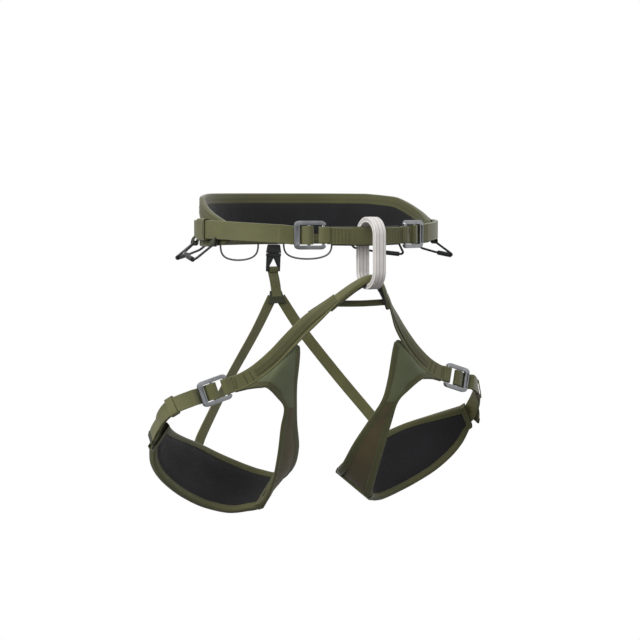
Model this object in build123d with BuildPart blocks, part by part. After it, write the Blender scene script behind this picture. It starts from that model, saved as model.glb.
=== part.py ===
"""Padded sit harness for climbing: waist belt, tie-in loops, belay loop, two leg loops, risers and gear loops.

Units are millimetres. The wearer faces -Y, +X is the wearer's left and +Z is up. The origin is the centre
of the waist ring at belt height. Pieces of the left side are built first and mirrored for the right side.
"""
import math
import os

from build123d import *

os.makedirs("parts", exist_ok=True)

# ---------------------------------------------------------------- driving dimensions
WAIST_A = 165.0           # half width of the belt's outer face, left to right
WAIST_B = 125.0           # half depth of the belt's outer face, front to back
LEG_X = 130.0             # leg ring centre, sideways from the middle
LEG_Y = -5.0              # leg ring centre, front to back
LEG_RX = 92.0             # leg ring half width at the upper edge
LEG_RY = 65.0             # leg ring half depth at the upper edge
LEG_DROP = 315.0          # belt centre down to the lowest point of the leg ring's upper edge
LEG_TALL = 1.0            # factor on the leg pad's height

WEB_W = 23.0              # belt webbing width
WEB_T = 2.0               # belt webbing thickness
STRAP_W = 20.0            # leg strap width
STRAP_T = 1.8             # leg strap thickness
RISER_W = 15.0            # rear riser width
RISER_T = 1.4             # rear riser thickness

SKIN = 1.0                # shell and lining thickness
WAIST_FOAM = 4.4          # waist foam thickness
LEG_FOAM = 4.0            # leg foam thickness
PANEL_T = 2.0             # thin laminate panel on the inner thigh and in front
TAPE_T = 0.8              # edge binding thickness
WAIST_TAPE_W = 13.0       # waist binding width
LEG_TAPE_W = 9.0          # leg binding width

BELAY_W = 16.0            # belay loop webbing width
BELAY_T = 6.5             # belay loop thickness, all layers
BELAY_TALL = 90.0         # belay loop height outside
BELAY_DEEP = 46.0         # belay loop depth outside

BUCKLE_L = 39.0           # buckle length along the strap
BUCKLE_T = 4.0            # buckle frame thickness
BAR_R = 2.0               # buckle bar radius
RAIL = 5.0                # buckle side rail width

# ---------------------------------------------------------------- clearances
GAP = 0.3                 # between surfaces of neighbouring pieces
LAYER = 0.12              # between glued layers of one pad
TURN = 0.3                # radial clearance of a turning pin or bar
KEEPER_GAP = 1.1          # keeper to the strap it slides on
PAD_GAP = 2.4             # pad to the belt webbing, room for the keeper
CLIP_GAP = 0.55           # clip prong to its socket

# ---------------------------------------------------------------- belt positions, degrees from the front centre
BUCKLE_ANGLE = 21.0       # sewn bar of each waist buckle
PAD_FRONT_Y = -42.0       # front end of the waist pad
KEEPER_ANGLE = 91.0       # waist keeper
KEEPER_L = 18.0           # waist keeper length along the belt
TAIL_END_ANGLE = 108.0    # end of the adjusting tail

PAD_OUT = -(WEB_T + GAP + PAD_GAP)                          # outer face of the binding
PAD_IN = PAD_OUT - TAPE_T * 2 - SKIN * 2 - WAIST_FOAM       # inner face of the binding


def belt_point(angle, out=0.0, z=0.0):
    """Point on the belt's ellipse, moved outwards by out."""
    a = math.radians(angle)
    return Vector((WAIST_A + out) * math.sin(a), -(WAIST_B + out) * math.cos(a), z)


def belt_along(angle):
    """Unit direction along the belt, from the front towards the wearer's left and the back."""
    a = math.radians(angle)
    return Vector(WAIST_A * math.cos(a), WAIST_B * math.sin(a), 0).normalized()


def belt_out(angle):
    """Unit outward normal of the belt."""
    along = belt_along(angle)
    return Vector(along.Y, -along.X, 0)


def belt_z(angle):
    """Height of the belt webbing's centre: it dips at the front."""
    turn = abs((angle + 180.0) % 360.0 - 180.0)
    a = math.radians(min(turn, 90.0))
    return -2.0 + 8.0 * math.sin(a) ** 2


def leg_point(x, y, z):
    """Point given from the leg ring's centre in millimetres of the nominal ring, scaled to the driving sizes."""
    return Vector(LEG_X + x * LEG_RX / 92.0, LEG_Y + y * LEG_RY / 65.0, z * LEG_DROP / 315.0)


# ---------------------------------------------------------------- shape helpers
def lofted(stations, outline, ruled=False):
    """Loft an outline through stations of (origin, width direction, normal, extra)."""
    with BuildPart() as body:
        for origin, across, normal, extra in stations:
            with BuildSketch(Plane(origin=origin, x_dir=across, z_dir=across.cross(normal))):
                with BuildLine():
                    Polyline(*outline(extra), close=True)
                make_face()
        loft(ruled=ruled)
    return body


def slab(v0, v1, n0, n1):
    """Rectangle outline from v0 to v1 across and n0 to n1 along the normal."""
    return [(v0, n0), (v1, n0), (v1, n1), (v0, n1)]


def mirrored(body):
    """The same piece on the wearer's right."""
    with BuildPart() as other:
        mirror(body.part, about=Plane.YZ)
    return other


def strap_stations(points, normals, count):
    """Stations along a smooth centre line; normals are blended between the given points."""
    path = Edge.make_spline([Vector(*p) for p in points])
    stations = []
    last = len(points) - 1
    for i in range(count):
        t = i / (count - 1)
        k = min(int(t * last), last - 1)
        f = t * last - k
        spot = path.position_at(t)
        along = path.tangent_at(t)
        near = Vector(*normals[k]) * (1 - f) + Vector(*normals[k + 1]) * f
        across = along.cross(near).normalized()
        normal = across.cross(along).normalized()
        stations.append((spot, across, normal, t))
    return stations


def strap(points, normals, width, n0, n1, count=14):
    """Flat strap along a smooth centre line."""
    return lofted(strap_stations(points, normals, count), lambda t: slab(-width / 2, width / 2, n0, n1))


# ---------------------------------------------------------------- belt bands
def belt_band(start, end, out0, out1, width, count, lift=0.0):
    """Webbing that follows the belt between two angles."""
    stations = []
    for i in range(count):
        angle = start + (end - start) * i / (count - 1)
        spot = belt_point(angle, 0, belt_z(angle) + lift)
        stations.append((spot, Vector(0, 0, 1), belt_out(angle), angle))
    return lofted(stations, lambda angle: slab(-width / 2, width / 2, out0, out1))


# ---------------------------------------------------------------- waist pad
def pad_profile(inset):
    """Side view of the waist pad as (y, z): high at the back, webbing height at its front ends."""
    back = WAIST_B + 20.0
    base = belt_z(90)
    top = [(PAD_FRONT_Y + 5, base + 7), (PAD_FRONT_Y + 22, base + 15), (5, base + 25), (40, base + 39)]
    top += [(75, base + 44), (WAIST_B - 15, base + 45), (back, base + 45)]
    bottom = [(back, base - 22), (WAIST_B - 60, base - 22), (0, base - 21), (PAD_FRONT_Y + 8, base - 18)]
    outline = [(PAD_FRONT_Y, base - 3)] + top + bottom + [(PAD_FRONT_Y, base - 10)]
    with BuildSketch(Plane.YZ.offset(-WAIST_A - 20)) as sheet:
        with BuildLine():
            Polyline(*outline, close=True)
        make_face()
        if inset > 0:
            offset(amount=-inset, kind=Kind.INTERSECTION, mode=Mode.REPLACE)
    return sheet.sketch


def pad_wall(out0, out1, inset):
    """Wall between two belt ellipses, cut to the pad's side view."""
    with BuildPart() as block:
        add(pad_profile(inset))
        extrude(amount=2 * WAIST_A + 40, dir=(1, 0, 0))
    with BuildPart() as wall:
        with BuildSketch(Plane.XY.offset(-40)):
            Ellipse(WAIST_A + out1, WAIST_B + out1)
            Ellipse(WAIST_A + out0, WAIST_B + out0, mode=Mode.SUBTRACT)
        extrude(amount=120)
        add(block.part, mode=Mode.INTERSECT)
    return wall


def waist_tape():
    """U-shaped binding folded over the whole edge of the pad."""
    core = pad_wall(PAD_IN + TAPE_T, PAD_OUT - TAPE_T, 1.2)
    middle = pad_wall(PAD_IN - 1, PAD_OUT + 1, WAIST_TAPE_W)
    with BuildPart() as tape:
        add(pad_wall(PAD_IN, PAD_OUT, 0).part)
        add(middle.part, mode=Mode.SUBTRACT)
        add(core.part, mode=Mode.SUBTRACT)
    return tape


def in_lengths(body, angles):
    """Divide a ring into lengths at upright planes through the middle, so that each length is simple."""
    with BuildPart() as divided:
        add(body.part)
        for angle in angles:
            split(bisect_by=Plane(origin=(0, 0, 0), z_dir=belt_along(angle)), keep=Keep.BOTH)
    return divided


core_in = PAD_IN + TAPE_T
core_out = PAD_OUT - TAPE_T
waist_lining = pad_wall(core_in, core_in + SKIN, 1.3)
waist_foam = in_lengths(pad_wall(core_in + SKIN + LAYER, core_out - SKIN - LAYER, 1.3), (90, 115, 140, 180, 220, 245))
waist_shell = pad_wall(core_out - SKIN, core_out, 1.3)
waist_binding = waist_tape()

# ---------------------------------------------------------------- buckles
# Local frame: x runs along the strap from the sewn bar, y across it, z outwards. The sewn bar is at x = 0.


def buckle_frame(place, width):
    """Aluminium frame with a sewn bar, a middle bar and a broad outer bar."""
    tall = width + 2 * (RAIL + 1.2)
    back = BAR_R + 1.0
    with BuildPart() as frame:
        with BuildSketch(place):
            with Locations((BUCKLE_L / 2 - back, 0)):
                RectangleRounded(BUCKLE_L, tall, 5.5)
            with Locations((BUCKLE_L / 2 - back - 1.5, 0)):
                RectangleRounded(BUCKLE_L - 8.0, tall - 2 * RAIL, 2.0, mode=Mode.SUBTRACT)
            with Locations((-2.0, 0)):
                Rectangle(2 * BAR_R + 2.4, tall - 2 * RAIL, mode=Mode.SUBTRACT)
        extrude(amount=BUCKLE_T / 2, both=True)
        for x in (0.0, BUCKLE_L * 0.46):
            with BuildSketch(Plane(place.location * Location((x, 0, 0), (90, 0, 0)))):
                Circle(BAR_R)
            extrude(amount=tall / 2 - RAIL + 0.6, both=True)
    return frame


def buckle_fold(place, width):
    """Webbing that is doubled round the middle bar and rides with the buckle."""
    mid = BUCKLE_L * 0.46
    inner = BAR_R + TURN
    outer = inner + STRAP_T
    reach = BUCKLE_L - 10.16 - outer - mid
    with BuildPart() as fold:
        with BuildSketch(Plane(place.location * Location((mid, 0, 0), (90, 0, 0)))):
            with Locations((reach / 2, 0)):
                SlotCenterToCenter(reach, 2 * outer)
            with Locations((reach / 2, 0)):
                SlotCenterToCenter(reach, 2 * inner, mode=Mode.SUBTRACT)
        extrude(amount=width / 2, both=True)
    return fold


def bar_loop(place, width, reach):
    """Sewn loop of webbing round the first bar, open to the strap behind it."""
    inner = BAR_R + TURN
    outer = inner + STRAP_T * 0.7
    with BuildPart() as loop:
        with BuildSketch(Plane(place.location * Location((0, 0, 0), (90, 0, 0)))):
            Circle(outer)
            with Locations((-reach / 2, 0)):
                Rectangle(reach, 2 * STRAP_T)
            Circle(inner, mode=Mode.SUBTRACT)
        extrude(amount=width / 2, both=True)
    return loop


bar_spot = belt_point(BUCKLE_ANGLE, 1.6, belt_z(BUCKLE_ANGLE + 6))
bar_far = belt_point(BUCKLE_ANGLE + 14, 1.6, belt_z(BUCKLE_ANGLE + 6))
along_buckle = (bar_far - bar_spot).normalized()
out_buckle = Vector(along_buckle.Y, -along_buckle.X, 0)
waist_buckle_place = Plane(origin=bar_spot, x_dir=along_buckle, z_dir=out_buckle)
waist_buckle_left = buckle_frame(waist_buckle_place, WEB_W)
waist_fold_left = buckle_fold(waist_buckle_place, WEB_W)

# ---------------------------------------------------------------- belt webbing and tie-in
mid_buckle = math.radians(BUCKLE_ANGLE + 7.0)
belt_pace = math.hypot(WAIST_A * math.cos(mid_buckle), WAIST_B * math.sin(mid_buckle))    # mm of belt per radian
web_start = BUCKLE_ANGLE + math.degrees((BUCKLE_L - BAR_R + 0.78) / belt_pace)
seams = [web_start, 65, 90, 115, 140, 180, 220, 245, 270, 295, 360 - web_start]
seam_half = 0.02
with BuildPart() as waist_webbing:
    for first, second in zip(seams, seams[1:]):
        add(belt_band(first + seam_half, second - seam_half, -WEB_T, 0, WEB_W, 7).part)
    for first, second in ((web_start, 72), (72, TAIL_END_ANGLE)):
        tail = belt_band(first + seam_half, second - seam_half, GAP, GAP + WEB_T, WEB_W, 9)
        add(tail.part)
        mirror(tail.part, about=Plane.YZ)

tie_end = BUCKLE_ANGLE - math.degrees(5.0 / WAIST_A)
with BuildPart() as tie_in_webbing:
    add(belt_band(-tie_end, tie_end, 0.2, 0.2 + 1.6 * WEB_T, WEB_W - 2, 11).part)
    add(bar_loop(waist_buckle_place, WEB_W - 2, 7.0).part)
    mirror(bar_loop(waist_buckle_place, WEB_W - 2, 7.0).part, about=Plane.YZ)

tie_in_guard = belt_band(-tie_end + 2, tie_end - 2, -1.8, -0.1, WEB_W + 1, 11)

# ---------------------------------------------------------------- waist keepers


def strap_keeper(place, width, stack_low, stack_high, length, gap, wall):
    """Flat band round a strap and its tail: x along the strap, z outwards."""
    mid = (stack_low + stack_high) / 2
    tall = stack_high - stack_low
    with BuildPart() as keeper:
        with BuildSketch(Plane(place.location * Location((0, 0, 0), (0, 90, 0)))):
            with Locations((-mid, 0)):
                RectangleRounded(tall + 2 * (gap + wall), width + 2 * (gap + wall), 1.4)
            with Locations((-mid, 0)):
                RectangleRounded(tall + 2 * gap, width + 2 * gap, 0.6, mode=Mode.SUBTRACT)
        extrude(amount=length / 2, both=True)
    return keeper


keeper_spot = belt_point(KEEPER_ANGLE, 0, belt_z(KEEPER_ANGLE))
waist_keeper_place = Plane(origin=keeper_spot, x_dir=belt_along(KEEPER_ANGLE), z_dir=belt_out(KEEPER_ANGLE))
waist_keeper_left = strap_keeper(waist_keeper_place, WEB_W, -WEB_T, GAP + WEB_T, KEEPER_L, KEEPER_GAP, 1.2)

# ---------------------------------------------------------------- belay loop
BELAY_Y = -(WAIST_B + 8.3)
BELAY_TOP = WEB_W / 2 + BELAY_T + 4.0
belay_mid_z = BELAY_TOP - BELAY_TALL / 2
with BuildPart() as belay_loop:
    with BuildSketch(Plane.YZ):
        with Locations((BELAY_Y, belay_mid_z)):
            SlotOverall(BELAY_TALL, BELAY_DEEP, rotation=90)
            SlotOverall(BELAY_TALL - 2 * BELAY_T, BELAY_DEEP - 2 * BELAY_T, rotation=90, mode=Mode.SUBTRACT)
    extrude(amount=BELAY_W / 2, both=True)

# ---------------------------------------------------------------- gear loops
GEAR_Z = -11.5            # hinge line of every gear loop
GEAR_OUT = 2.4            # hinge line outside the belt face
PIN_R = 1.1
EYE_R = 2.5
EYE_L = 4.0
CORE_R = 1.5
SLEEVE_R = 3.1


def gear_frame(front_angle, rear_angle, tilt):
    """Plane whose x runs along the hinge line from rear to front and whose y leans outwards and down."""
    rear = belt_point(rear_angle, GEAR_OUT, GEAR_Z)
    front = belt_point(front_angle, GEAR_OUT, GEAR_Z)
    along = (front - rear).normalized()
    out = Vector(0, 0, 1).cross(along)
    if out.dot(rear) < 0:
        out = out * -1
    lean = math.radians(tilt)
    down = out * math.sin(lean) + Vector(0, 0, -1) * math.cos(lean)
    return Plane(origin=rear, x_dir=along, z_dir=along.cross(down)), (front - rear).length


def eye(place, x):
    """Eyelet round the anchor pin."""
    with BuildPart() as ring:
        with BuildSketch(Plane(place.location * Location((x, 0, 0), (0, 90, 0)))):
            Circle(EYE_R)
            Circle(PIN_R + TURN, mode=Mode.SUBTRACT)
        extrude(amount=EYE_L / 2, both=True)
    return ring


def swept_wire(place, points, radius, bend):
    """Round bar along a polyline with rounded corners in the given plane."""
    with BuildPart() as wire:
        with BuildLine(place) as path:
            FilletPolyline(*points, radius=bend)
        with BuildSketch(Plane(origin=path.line @ 0, z_dir=path.line % 0)):
            Circle(radius)
        sweep(path=path.line)
    return wire


def loop_path(span, depth, beak):
    """Corners of a moulded gear loop, with the beak past its front end."""
    return [(0, EYE_R - 0.4), (5, depth * 0.55), (span * 0.45, depth * 0.78), (span + beak, depth), (span, EYE_R - 0.4)]


def moulded_core(place, span, depth, beak):
    """Thin strand of a moulded gear loop with an eyelet at each end."""
    with BuildPart() as core:
        add(swept_wire(place, loop_path(span, depth, beak), CORE_R, 5.0).part)
        add(eye(place, 0).part)
        add(eye(place, span).part)
    return core


def moulded_sleeve(place, span, depth, beak):
    """Fat tube moulded over the lower run of the loop up to its beak."""
    corners = loop_path(span, depth, beak)
    run = Vector(corners[3][0] - corners[2][0], corners[3][1] - corners[2][1], 0)
    length = run.length
    unit = run.normalized()
    first = Vector(corners[2][0], corners[2][1], 0) + unit * 6.5
    with BuildPart() as sleeve:
        spot = place.from_local_coords(first)
        direction = place.from_local_coords(first + unit) - spot
        with BuildSketch(Plane(origin=spot, z_dir=direction)):
            Circle(SLEEVE_R)
            Circle(CORE_R + LAYER, mode=Mode.SUBTRACT)
        extrude(amount=length - 13.5)
    return sleeve


def cord_path(span, depth):
    """Rounded hanging path of a thin cord loop."""
    return [(0, EYE_R - 0.4), (span * 0.12, depth), (span * 0.88, depth), (span, EYE_R - 0.4)]


def cord_gear_loop(place, span, depth):
    """Thin cord loop with an eyelet at each end."""
    with BuildPart() as loop:
        add(swept_wire(place, cord_path(span, depth), 1.2, 9.0).part)
        add(eye(place, 0).part)
        add(eye(place, span).part)
    return loop


side_place, side_span = gear_frame(78, 104, 56)
rear_place, rear_span = gear_frame(113, 141, 50)
cord_place, cord_span = gear_frame(149, 173.5, 0)
SIDE_DEPTH = 36.0
REAR_DEPTH = 32.0
CORD_DEPTH = 26.0
BEAK = 4.0

side_loop_left = moulded_core(side_place, side_span, SIDE_DEPTH, BEAK)
side_sleeve_left = moulded_sleeve(side_place, side_span, SIDE_DEPTH, BEAK)
rear_loop_left = moulded_core(rear_place, rear_span, REAR_DEPTH, BEAK)
rear_sleeve_left = moulded_sleeve(rear_place, rear_span, REAR_DEPTH, BEAK)
cord_loop_left = cord_gear_loop(cord_place, cord_span, CORD_DEPTH)


def anchor(place, x):
    """Bracket with a pin through one eyelet, hung from the belt's lower edge."""
    along = (place.from_local_coords((1, 0, 0)) - place.from_local_coords((0, 0, 0))).normalized()
    spot = place.from_local_coords((x, 0, 0))
    upright = Plane(origin=spot, x_dir=along, z_dir=Vector(0, 0, 1))
    with BuildPart() as bracket:
        with BuildSketch(Plane(origin=spot, z_dir=along)):
            Circle(PIN_R)
        extrude(amount=EYE_L / 2 + 1.6, both=True)
        for side in (-1, 1):
            with BuildSketch(upright.offset(-PIN_R)):
                with Locations((side * (EYE_L / 2 + 1.0), 0)):
                    Rectangle(1.2, 2.6)
            extrude(amount=PIN_R + EYE_R + 0.6)
        with BuildSketch(upright.offset(EYE_R + 0.5)):
            Rectangle(EYE_L + 3.2, 2.6)
        extrude(amount=1.4)
    return bracket


with BuildPart() as gear_anchors_left:
    for where, length in ((side_place, side_span), (rear_place, rear_span), (cord_place, cord_span)):
        add(anchor(where, 0).part)
        add(anchor(where, length).part)
gear_anchors_right = mirrored(gear_anchors_left)

# ---------------------------------------------------------------- leg loop skeleton
# Upper and lower edge of the band from the outer hip, round the back, up the inner thigh.
PAD_EDGES = [
    ((92, -4, -237), (110, 4, -267)),
    ((66, 31, -251), (104, 13, -288)),
    ((39, 55, -263), (90, 19, -307)),
    ((11, 64, -275), (67, 25, -326)),
    ((-11, 65, -286), (42, 32, -341)),
    ((-32, 61, -296), (18, 36, -352)),
    ((-52, 55, -305), (-12, 32, -360)),
    ((-70, 46, -312), (-32, 23, -358)),
    ((-86, 27, -315), (-47, 7, -350)),
]
INNER_EDGES = [
    ((-92, 3, -303), (-52, -15, -318)),
    ((-88, -18, -275), (-51, -32, -281)),
    ((-75, -37, -242), (-48, -46, -245)),
    ((-66, -52, -217), (-46, -58, -219)),
]
FRONT_EDGES = [
    ((-62, -60, -190), (-33, -63, -204)),
    ((-59, -72, -140), (-17, -67, -191)),
    ((-42, -66, -144), (-8, -66, -190)),
    ((-18, -57, -165), (6, -62, -191)),
    ((18, -51, -184), (22, -55, -195)),
]
FINE = 3                  # loft sections per given pair of edge points


def band_stations(edges, halves):
    """Stations across a leg band: origin on the upper edge, x to the lower edge, normal away from the thigh."""
    points_up = [leg_point(*u) for u, l in edges]
    points_low = [leg_point(*l) for u, l in edges]
    points_low = [u + (l - u) * LEG_TALL for u, l in zip(points_up, points_low)]
    steps = list(range(len(edges)))
    upper_edge = Edge.make_spline(points_up, parameters=steps)
    lower_edge = Edge.make_spline(points_low, parameters=steps)
    last = (len(edges) - 1) * FINE
    uppers = [upper_edge.position_at(i / last, PositionMode.PARAMETER) for i in range(last + 1)]
    lowers = [lower_edge.position_at(i / last, PositionMode.PARAMETER) for i in range(last + 1)]
    stations = []
    for i in range(last + 1):
        before = max(i - 1, 0)
        after = min(i + 1, last)
        along = (uppers[after] + lowers[after]) - (uppers[before] + lowers[before])
        across = (lowers[i] - uppers[i]).normalized()
        normal = along.cross(across).normalized()
        middle = (uppers[i] + lowers[i]) * 0.5
        away = Vector(middle.X - LEG_X, middle.Y - LEG_Y, -20)
        if normal.dot(away) < 0:
            normal = normal * -1
        width = (lowers[i] - uppers[i]).length
        step = min(i // FINE, len(edges) - 2)
        share = i / FINE - step
        half = halves[step] * (1 - share) + halves[step + 1] * share
        stations.append((uppers[i], across, normal, (width, half)))
    return stations


pad_half = LEG_FOAM / 2 + SKIN
panel_half = PANEL_T / 2
edges = PAD_EDGES + INNER_EDGES + FRONT_EDGES
leg_line = band_stations(edges, [pad_half] * 9 + [panel_half] * (len(edges) - 9))
pad_line = leg_line[:8 * FINE + 1]
inner_line = [(o, a, n, (e[0], panel_half)) for o, a, n, e in leg_line[8 * FINE:12 * FINE + 1]]
front_line = leg_line[12 * FINE:]
EDGE_IN = 0.5
TAPE_GAP = 0.2            # binding to the layers inside it


def layer(line, low, high):
    """One layer of a band, given by its distances from the middle surface."""
    return lofted(line, lambda e: slab(EDGE_IN, e[0] - EDGE_IN, low, high))


def upper_channel(e):
    """U-shaped binding section folded over the upper edge."""
    h = e[1] + TAPE_GAP
    t = h + TAPE_T
    w = LEG_TAPE_W
    return [(-0.6, -t), (w, -t), (w, -h), (0.25, -h), (0.25, h), (w, h), (w, t), (-0.6, t)]


def lower_channel(e):
    """U-shaped binding section folded over the lower edge."""
    return [(e[0] - v, n) for v, n in upper_channel(e)]


leg_lining_left = layer(pad_line, -pad_half, -pad_half + SKIN)
leg_foam_left = layer(pad_line, -pad_half + SKIN + LAYER, pad_half - SKIN - LAYER)
leg_shell_left = layer(pad_line, pad_half - SKIN, pad_half)
leg_inner_panel_left = layer(inner_line, -panel_half, panel_half)
leg_front_panel_left = layer(front_line, -panel_half, panel_half)
leg_upper_tape_left = lofted(leg_line[:14 * FINE + 1], upper_channel)
leg_lower_tape_left = lofted(leg_line, lower_channel)


def band_spot(i, f, v, n):
    """Point on the leg band between stations i and i + 1: v from the upper edge, n outside the middle surface."""
    o, a, normal, e = leg_line[round((i + f) * FINE)]
    return o + a * v + normal * n


def band_out(i):
    """Outward normal of the band at a station."""
    normal = leg_line[i * FINE][2]
    return (normal.X, normal.Y, normal.Z)


# ---------------------------------------------------------------- tie-in arch and front straps of the leg loops
ARCH_Z = BELAY_TOP - BELAY_TALL + BELAY_T + 9.0    # the arch hangs in the belay loop's lower end
ARCH_W = 12.0
ARCH_T = 5.0
ARCH_END_X = 33.0
arch_path = [
    (-ARCH_END_X, BELAY_Y + 19, ARCH_Z - 24), (-22, BELAY_Y + 8, ARCH_Z - 11), (-11, BELAY_Y + 2, ARCH_Z - 2.2),
    (0, BELAY_Y, ARCH_Z), (11, BELAY_Y + 2, ARCH_Z - 2.2), (22, BELAY_Y + 8, ARCH_Z - 11),
    (ARCH_END_X, BELAY_Y + 19, ARCH_Z - 24),
]
arch_up = [(-0.75, -0.2, 0.65), (-0.6, -0.1, 0.8), (-0.2, 0, 1), (0, 0, 1), (0.2, 0, 1), (0.6, -0.1, 0.8),
           (0.75, -0.2, 0.65)]
tie_in_arch = strap(arch_path, arch_up, ARCH_W, -ARCH_T / 2, ARCH_T / 2 - 1.5, 17)
arch_guard = strap(arch_path[1:-1], arch_up[1:-1], ARCH_W, ARCH_T / 2 - 1.1, ARCH_T / 2, 13)

# ---------------------------------------------------------------- leg buckles
leg_bar = leg_point(34, -54, -187.5)
leg_far = leg_point(68, -50, -198)
along_leg = (leg_far - leg_bar).normalized()
across_leg = along_leg.cross(Vector(0.18, -0.97, 0.1)).normalized()
out_leg = across_leg.cross(along_leg).normalized()
leg_buckle_place = Plane(origin=leg_bar, x_dir=along_leg, z_dir=out_leg)
leg_buckle_left = buckle_frame(leg_buckle_place, STRAP_W)
leg_fold_left = buckle_fold(leg_buckle_place, STRAP_W)

# ---------------------------------------------------------------- front straps of the leg loops
front_spots = [
    Vector(ARCH_END_X + 3.5, BELAY_Y + 22, ARCH_Z - 27.5),
    leg_point(-79, -93, -96),
    leg_point(-64, -81, -112),
    leg_point(-46, -72, -132),
    leg_point(-27, -66.5, -152),
    leg_point(-4, -61, -171),
    leg_point(16, -57, -182),
    leg_buckle_place.from_local_coords(Vector(-5.5, 0, -STRAP_T / 2)),
]
front_out = [(0.5, -0.7, 0.5), (0.4, -0.8, 0.4), (0.3, -0.88, 0.3), (0.25, -0.93, 0.2), (0.2, -0.96, 0.15),
             (0.18, -0.97, 0.1), (0.18, -0.97, 0.1), (out_leg.X, out_leg.Y, out_leg.Z)]
front_points = [(p.X, p.Y, p.Z) for p in front_spots]
front_stations = strap_stations(front_points, front_out, 24)
ridge_half = STRAP_W * 0.22
with BuildPart() as front_strap_left:
    add(lofted(front_stations, lambda t: slab(-STRAP_W / 2, STRAP_W / 2, 0, STRAP_T)).part)
    add(bar_loop(leg_buckle_place, STRAP_W, 7.0).part)
    add(lofted(front_stations[:18], lambda t: slab(-ridge_half, ridge_half, STRAP_T - 0.2, STRAP_T + 1.5)).part)

# ---------------------------------------------------------------- adjusting straps of the leg loops
strap_start = BUCKLE_L * 1.041 - BAR_R - 1.0
end_width = leg_line[0][3][0]
end_along = (band_spot(0, 0.34, 0, 0) - band_spot(0, 0, 0, 0)).normalized()
adjust_spots = [
    leg_buckle_place.from_local_coords(Vector(strap_start, 0, -1.2)),
    leg_buckle_place.from_local_coords(Vector(strap_start + 12, 0.5, -2.2)),
    leg_point(97, -30, -212),
    leg_point(104, -17, -225),
    leg_point(105, -8, -238),
    band_spot(0, 0, end_width * 0.5, 0) - end_along * 1.6,
]
adjust_out = [(out_leg.X, out_leg.Y, out_leg.Z), (0.4, -0.9, 0.15), (0.85, -0.5, 0.15), (0.97, -0.15, 0.15),
              (0.95, 0.15, 0.25), band_out(0)]
adjust_points = [(p.X, p.Y, p.Z) for p in adjust_spots]
adjust_line = strap_stations(adjust_points, adjust_out, 19)
tail_low = STRAP_T / 2 + GAP
tail_line = [(spot, across, normal, 0.0) for spot, across, normal, t in adjust_line[:12]]
last_spot, last_across, last_normal, last_t = tail_line[-1]
last_along = (tail_line[-1][0] - tail_line[-2][0]).normalized()
for lift, fall in ((3.0, 8.0), (5.0, 16.0), (6.0, 24.0)):
    spot = last_spot + last_along * fall * 0.6 + Vector(0, 0, -1) * fall * 0.4 + last_normal * lift
    tail_line.append((spot, last_across, last_normal, 0.0))
band_end = band_spot(0, 0, end_width * 0.5, 0)
end_normal = leg_line[0][1].cross(leg_line[0][2]).normalized()
end_normal = end_normal * math.copysign(1.0, end_normal.dot(end_along))
with BuildPart() as sewn_strap:
    add(lofted(adjust_line, lambda t: slab(-STRAP_W / 2, STRAP_W / 2, -STRAP_T / 2, STRAP_T / 2)).part)
    with BuildSketch(Plane(origin=band_end - end_normal * 0.1, x_dir=leg_line[0][1], z_dir=end_normal)):
        Rectangle(2 * end_width, 16)
    extrude(amount=16, mode=Mode.SUBTRACT)
with BuildPart() as leg_adjust_strap_left:
    add(sewn_strap.part)
    add(lofted(tail_line, lambda t: slab(-STRAP_W / 2, STRAP_W / 2, tail_low, tail_low + STRAP_T)).part)

keeper_at = adjust_line[7]
keeper_along = keeper_at[2].cross(keeper_at[1]).normalized()
leg_keeper_place = Plane(origin=keeper_at[0], x_dir=keeper_along, z_dir=keeper_at[2])
leg_keeper_left = strap_keeper(leg_keeper_place, STRAP_W, -STRAP_T / 2, tail_low + STRAP_T, 8.0, KEEPER_GAP, 1.2)

# ---------------------------------------------------------------- bridge strap
BRIDGE_H = 8.0
bridge_z = ARCH_Z - 33.0
with BuildPart() as bridge_strap:
    with BuildSketch(Plane.YZ):
        with Locations((BELAY_Y + 23.5, bridge_z)):
            Rectangle(1.6, BRIDGE_H)
    extrude(amount=ARCH_END_X - 1, both=True)

# ---------------------------------------------------------------- rear clip
# Its long axis follows the arc on which the leg loops drop, so the prong leaves the socket without touching it.
PIVOT = Vector(0, BELAY_Y, ARCH_Z)
CLIP_W = 20.0
CLIP_D = 7.0
SOCKET_H = 11.0
SOCKET_DEPTH = 9.0
PRONG_W = 12.0
PRONG_T = 2.2
PRONG_H = 7.5
CLIP_FRAME_T = 4.0
mouth = Vector(0, WAIST_B - 6.0, belt_z(90) - 22.0 - 1.0 - SOCKET_H - 0.5)
radial = mouth + Vector(0, 0, SOCKET_DEPTH * -0.5) - PIVOT
clip_up = Vector(0, -radial.Z, radial.Y).normalized()
clip_place = Plane(origin=mouth, x_dir=(1, 0, 0), z_dir=clip_up)

with BuildPart(clip_place) as clip_socket:
    with Locations((0, 0, SOCKET_H / 2)):
        Box(CLIP_W, CLIP_D, SOCKET_H)
    with Locations((0, 0, SOCKET_DEPTH / 2 - 0.01)):
        Box(PRONG_W + 2 * CLIP_GAP, PRONG_T + 2 * CLIP_GAP, SOCKET_DEPTH, mode=Mode.SUBTRACT)

with BuildPart(clip_place) as clip_tongue:
    with Locations((0, 0, PRONG_H / 2 - 1)):
        Box(PRONG_W, PRONG_T, PRONG_H + 2)
    with Locations((0, 0, -2.7)):
        Box(CLIP_W, CLIP_D - 1.0, 4.2)
    with BuildSketch(Plane(clip_place.location * Location((0, 0, 0), (90, 0, 0)))):
        Polygon((-CLIP_W / 2, -4), (CLIP_W / 2, -4), (CLIP_W / 2, -25), (-CLIP_W / 2, -25), align=None)
        Polygon((0, -7), (6.6, -20.5), (-6.6, -20.5), align=None, mode=Mode.SUBTRACT)
    extrude(amount=CLIP_FRAME_T / 2, both=True)

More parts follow.
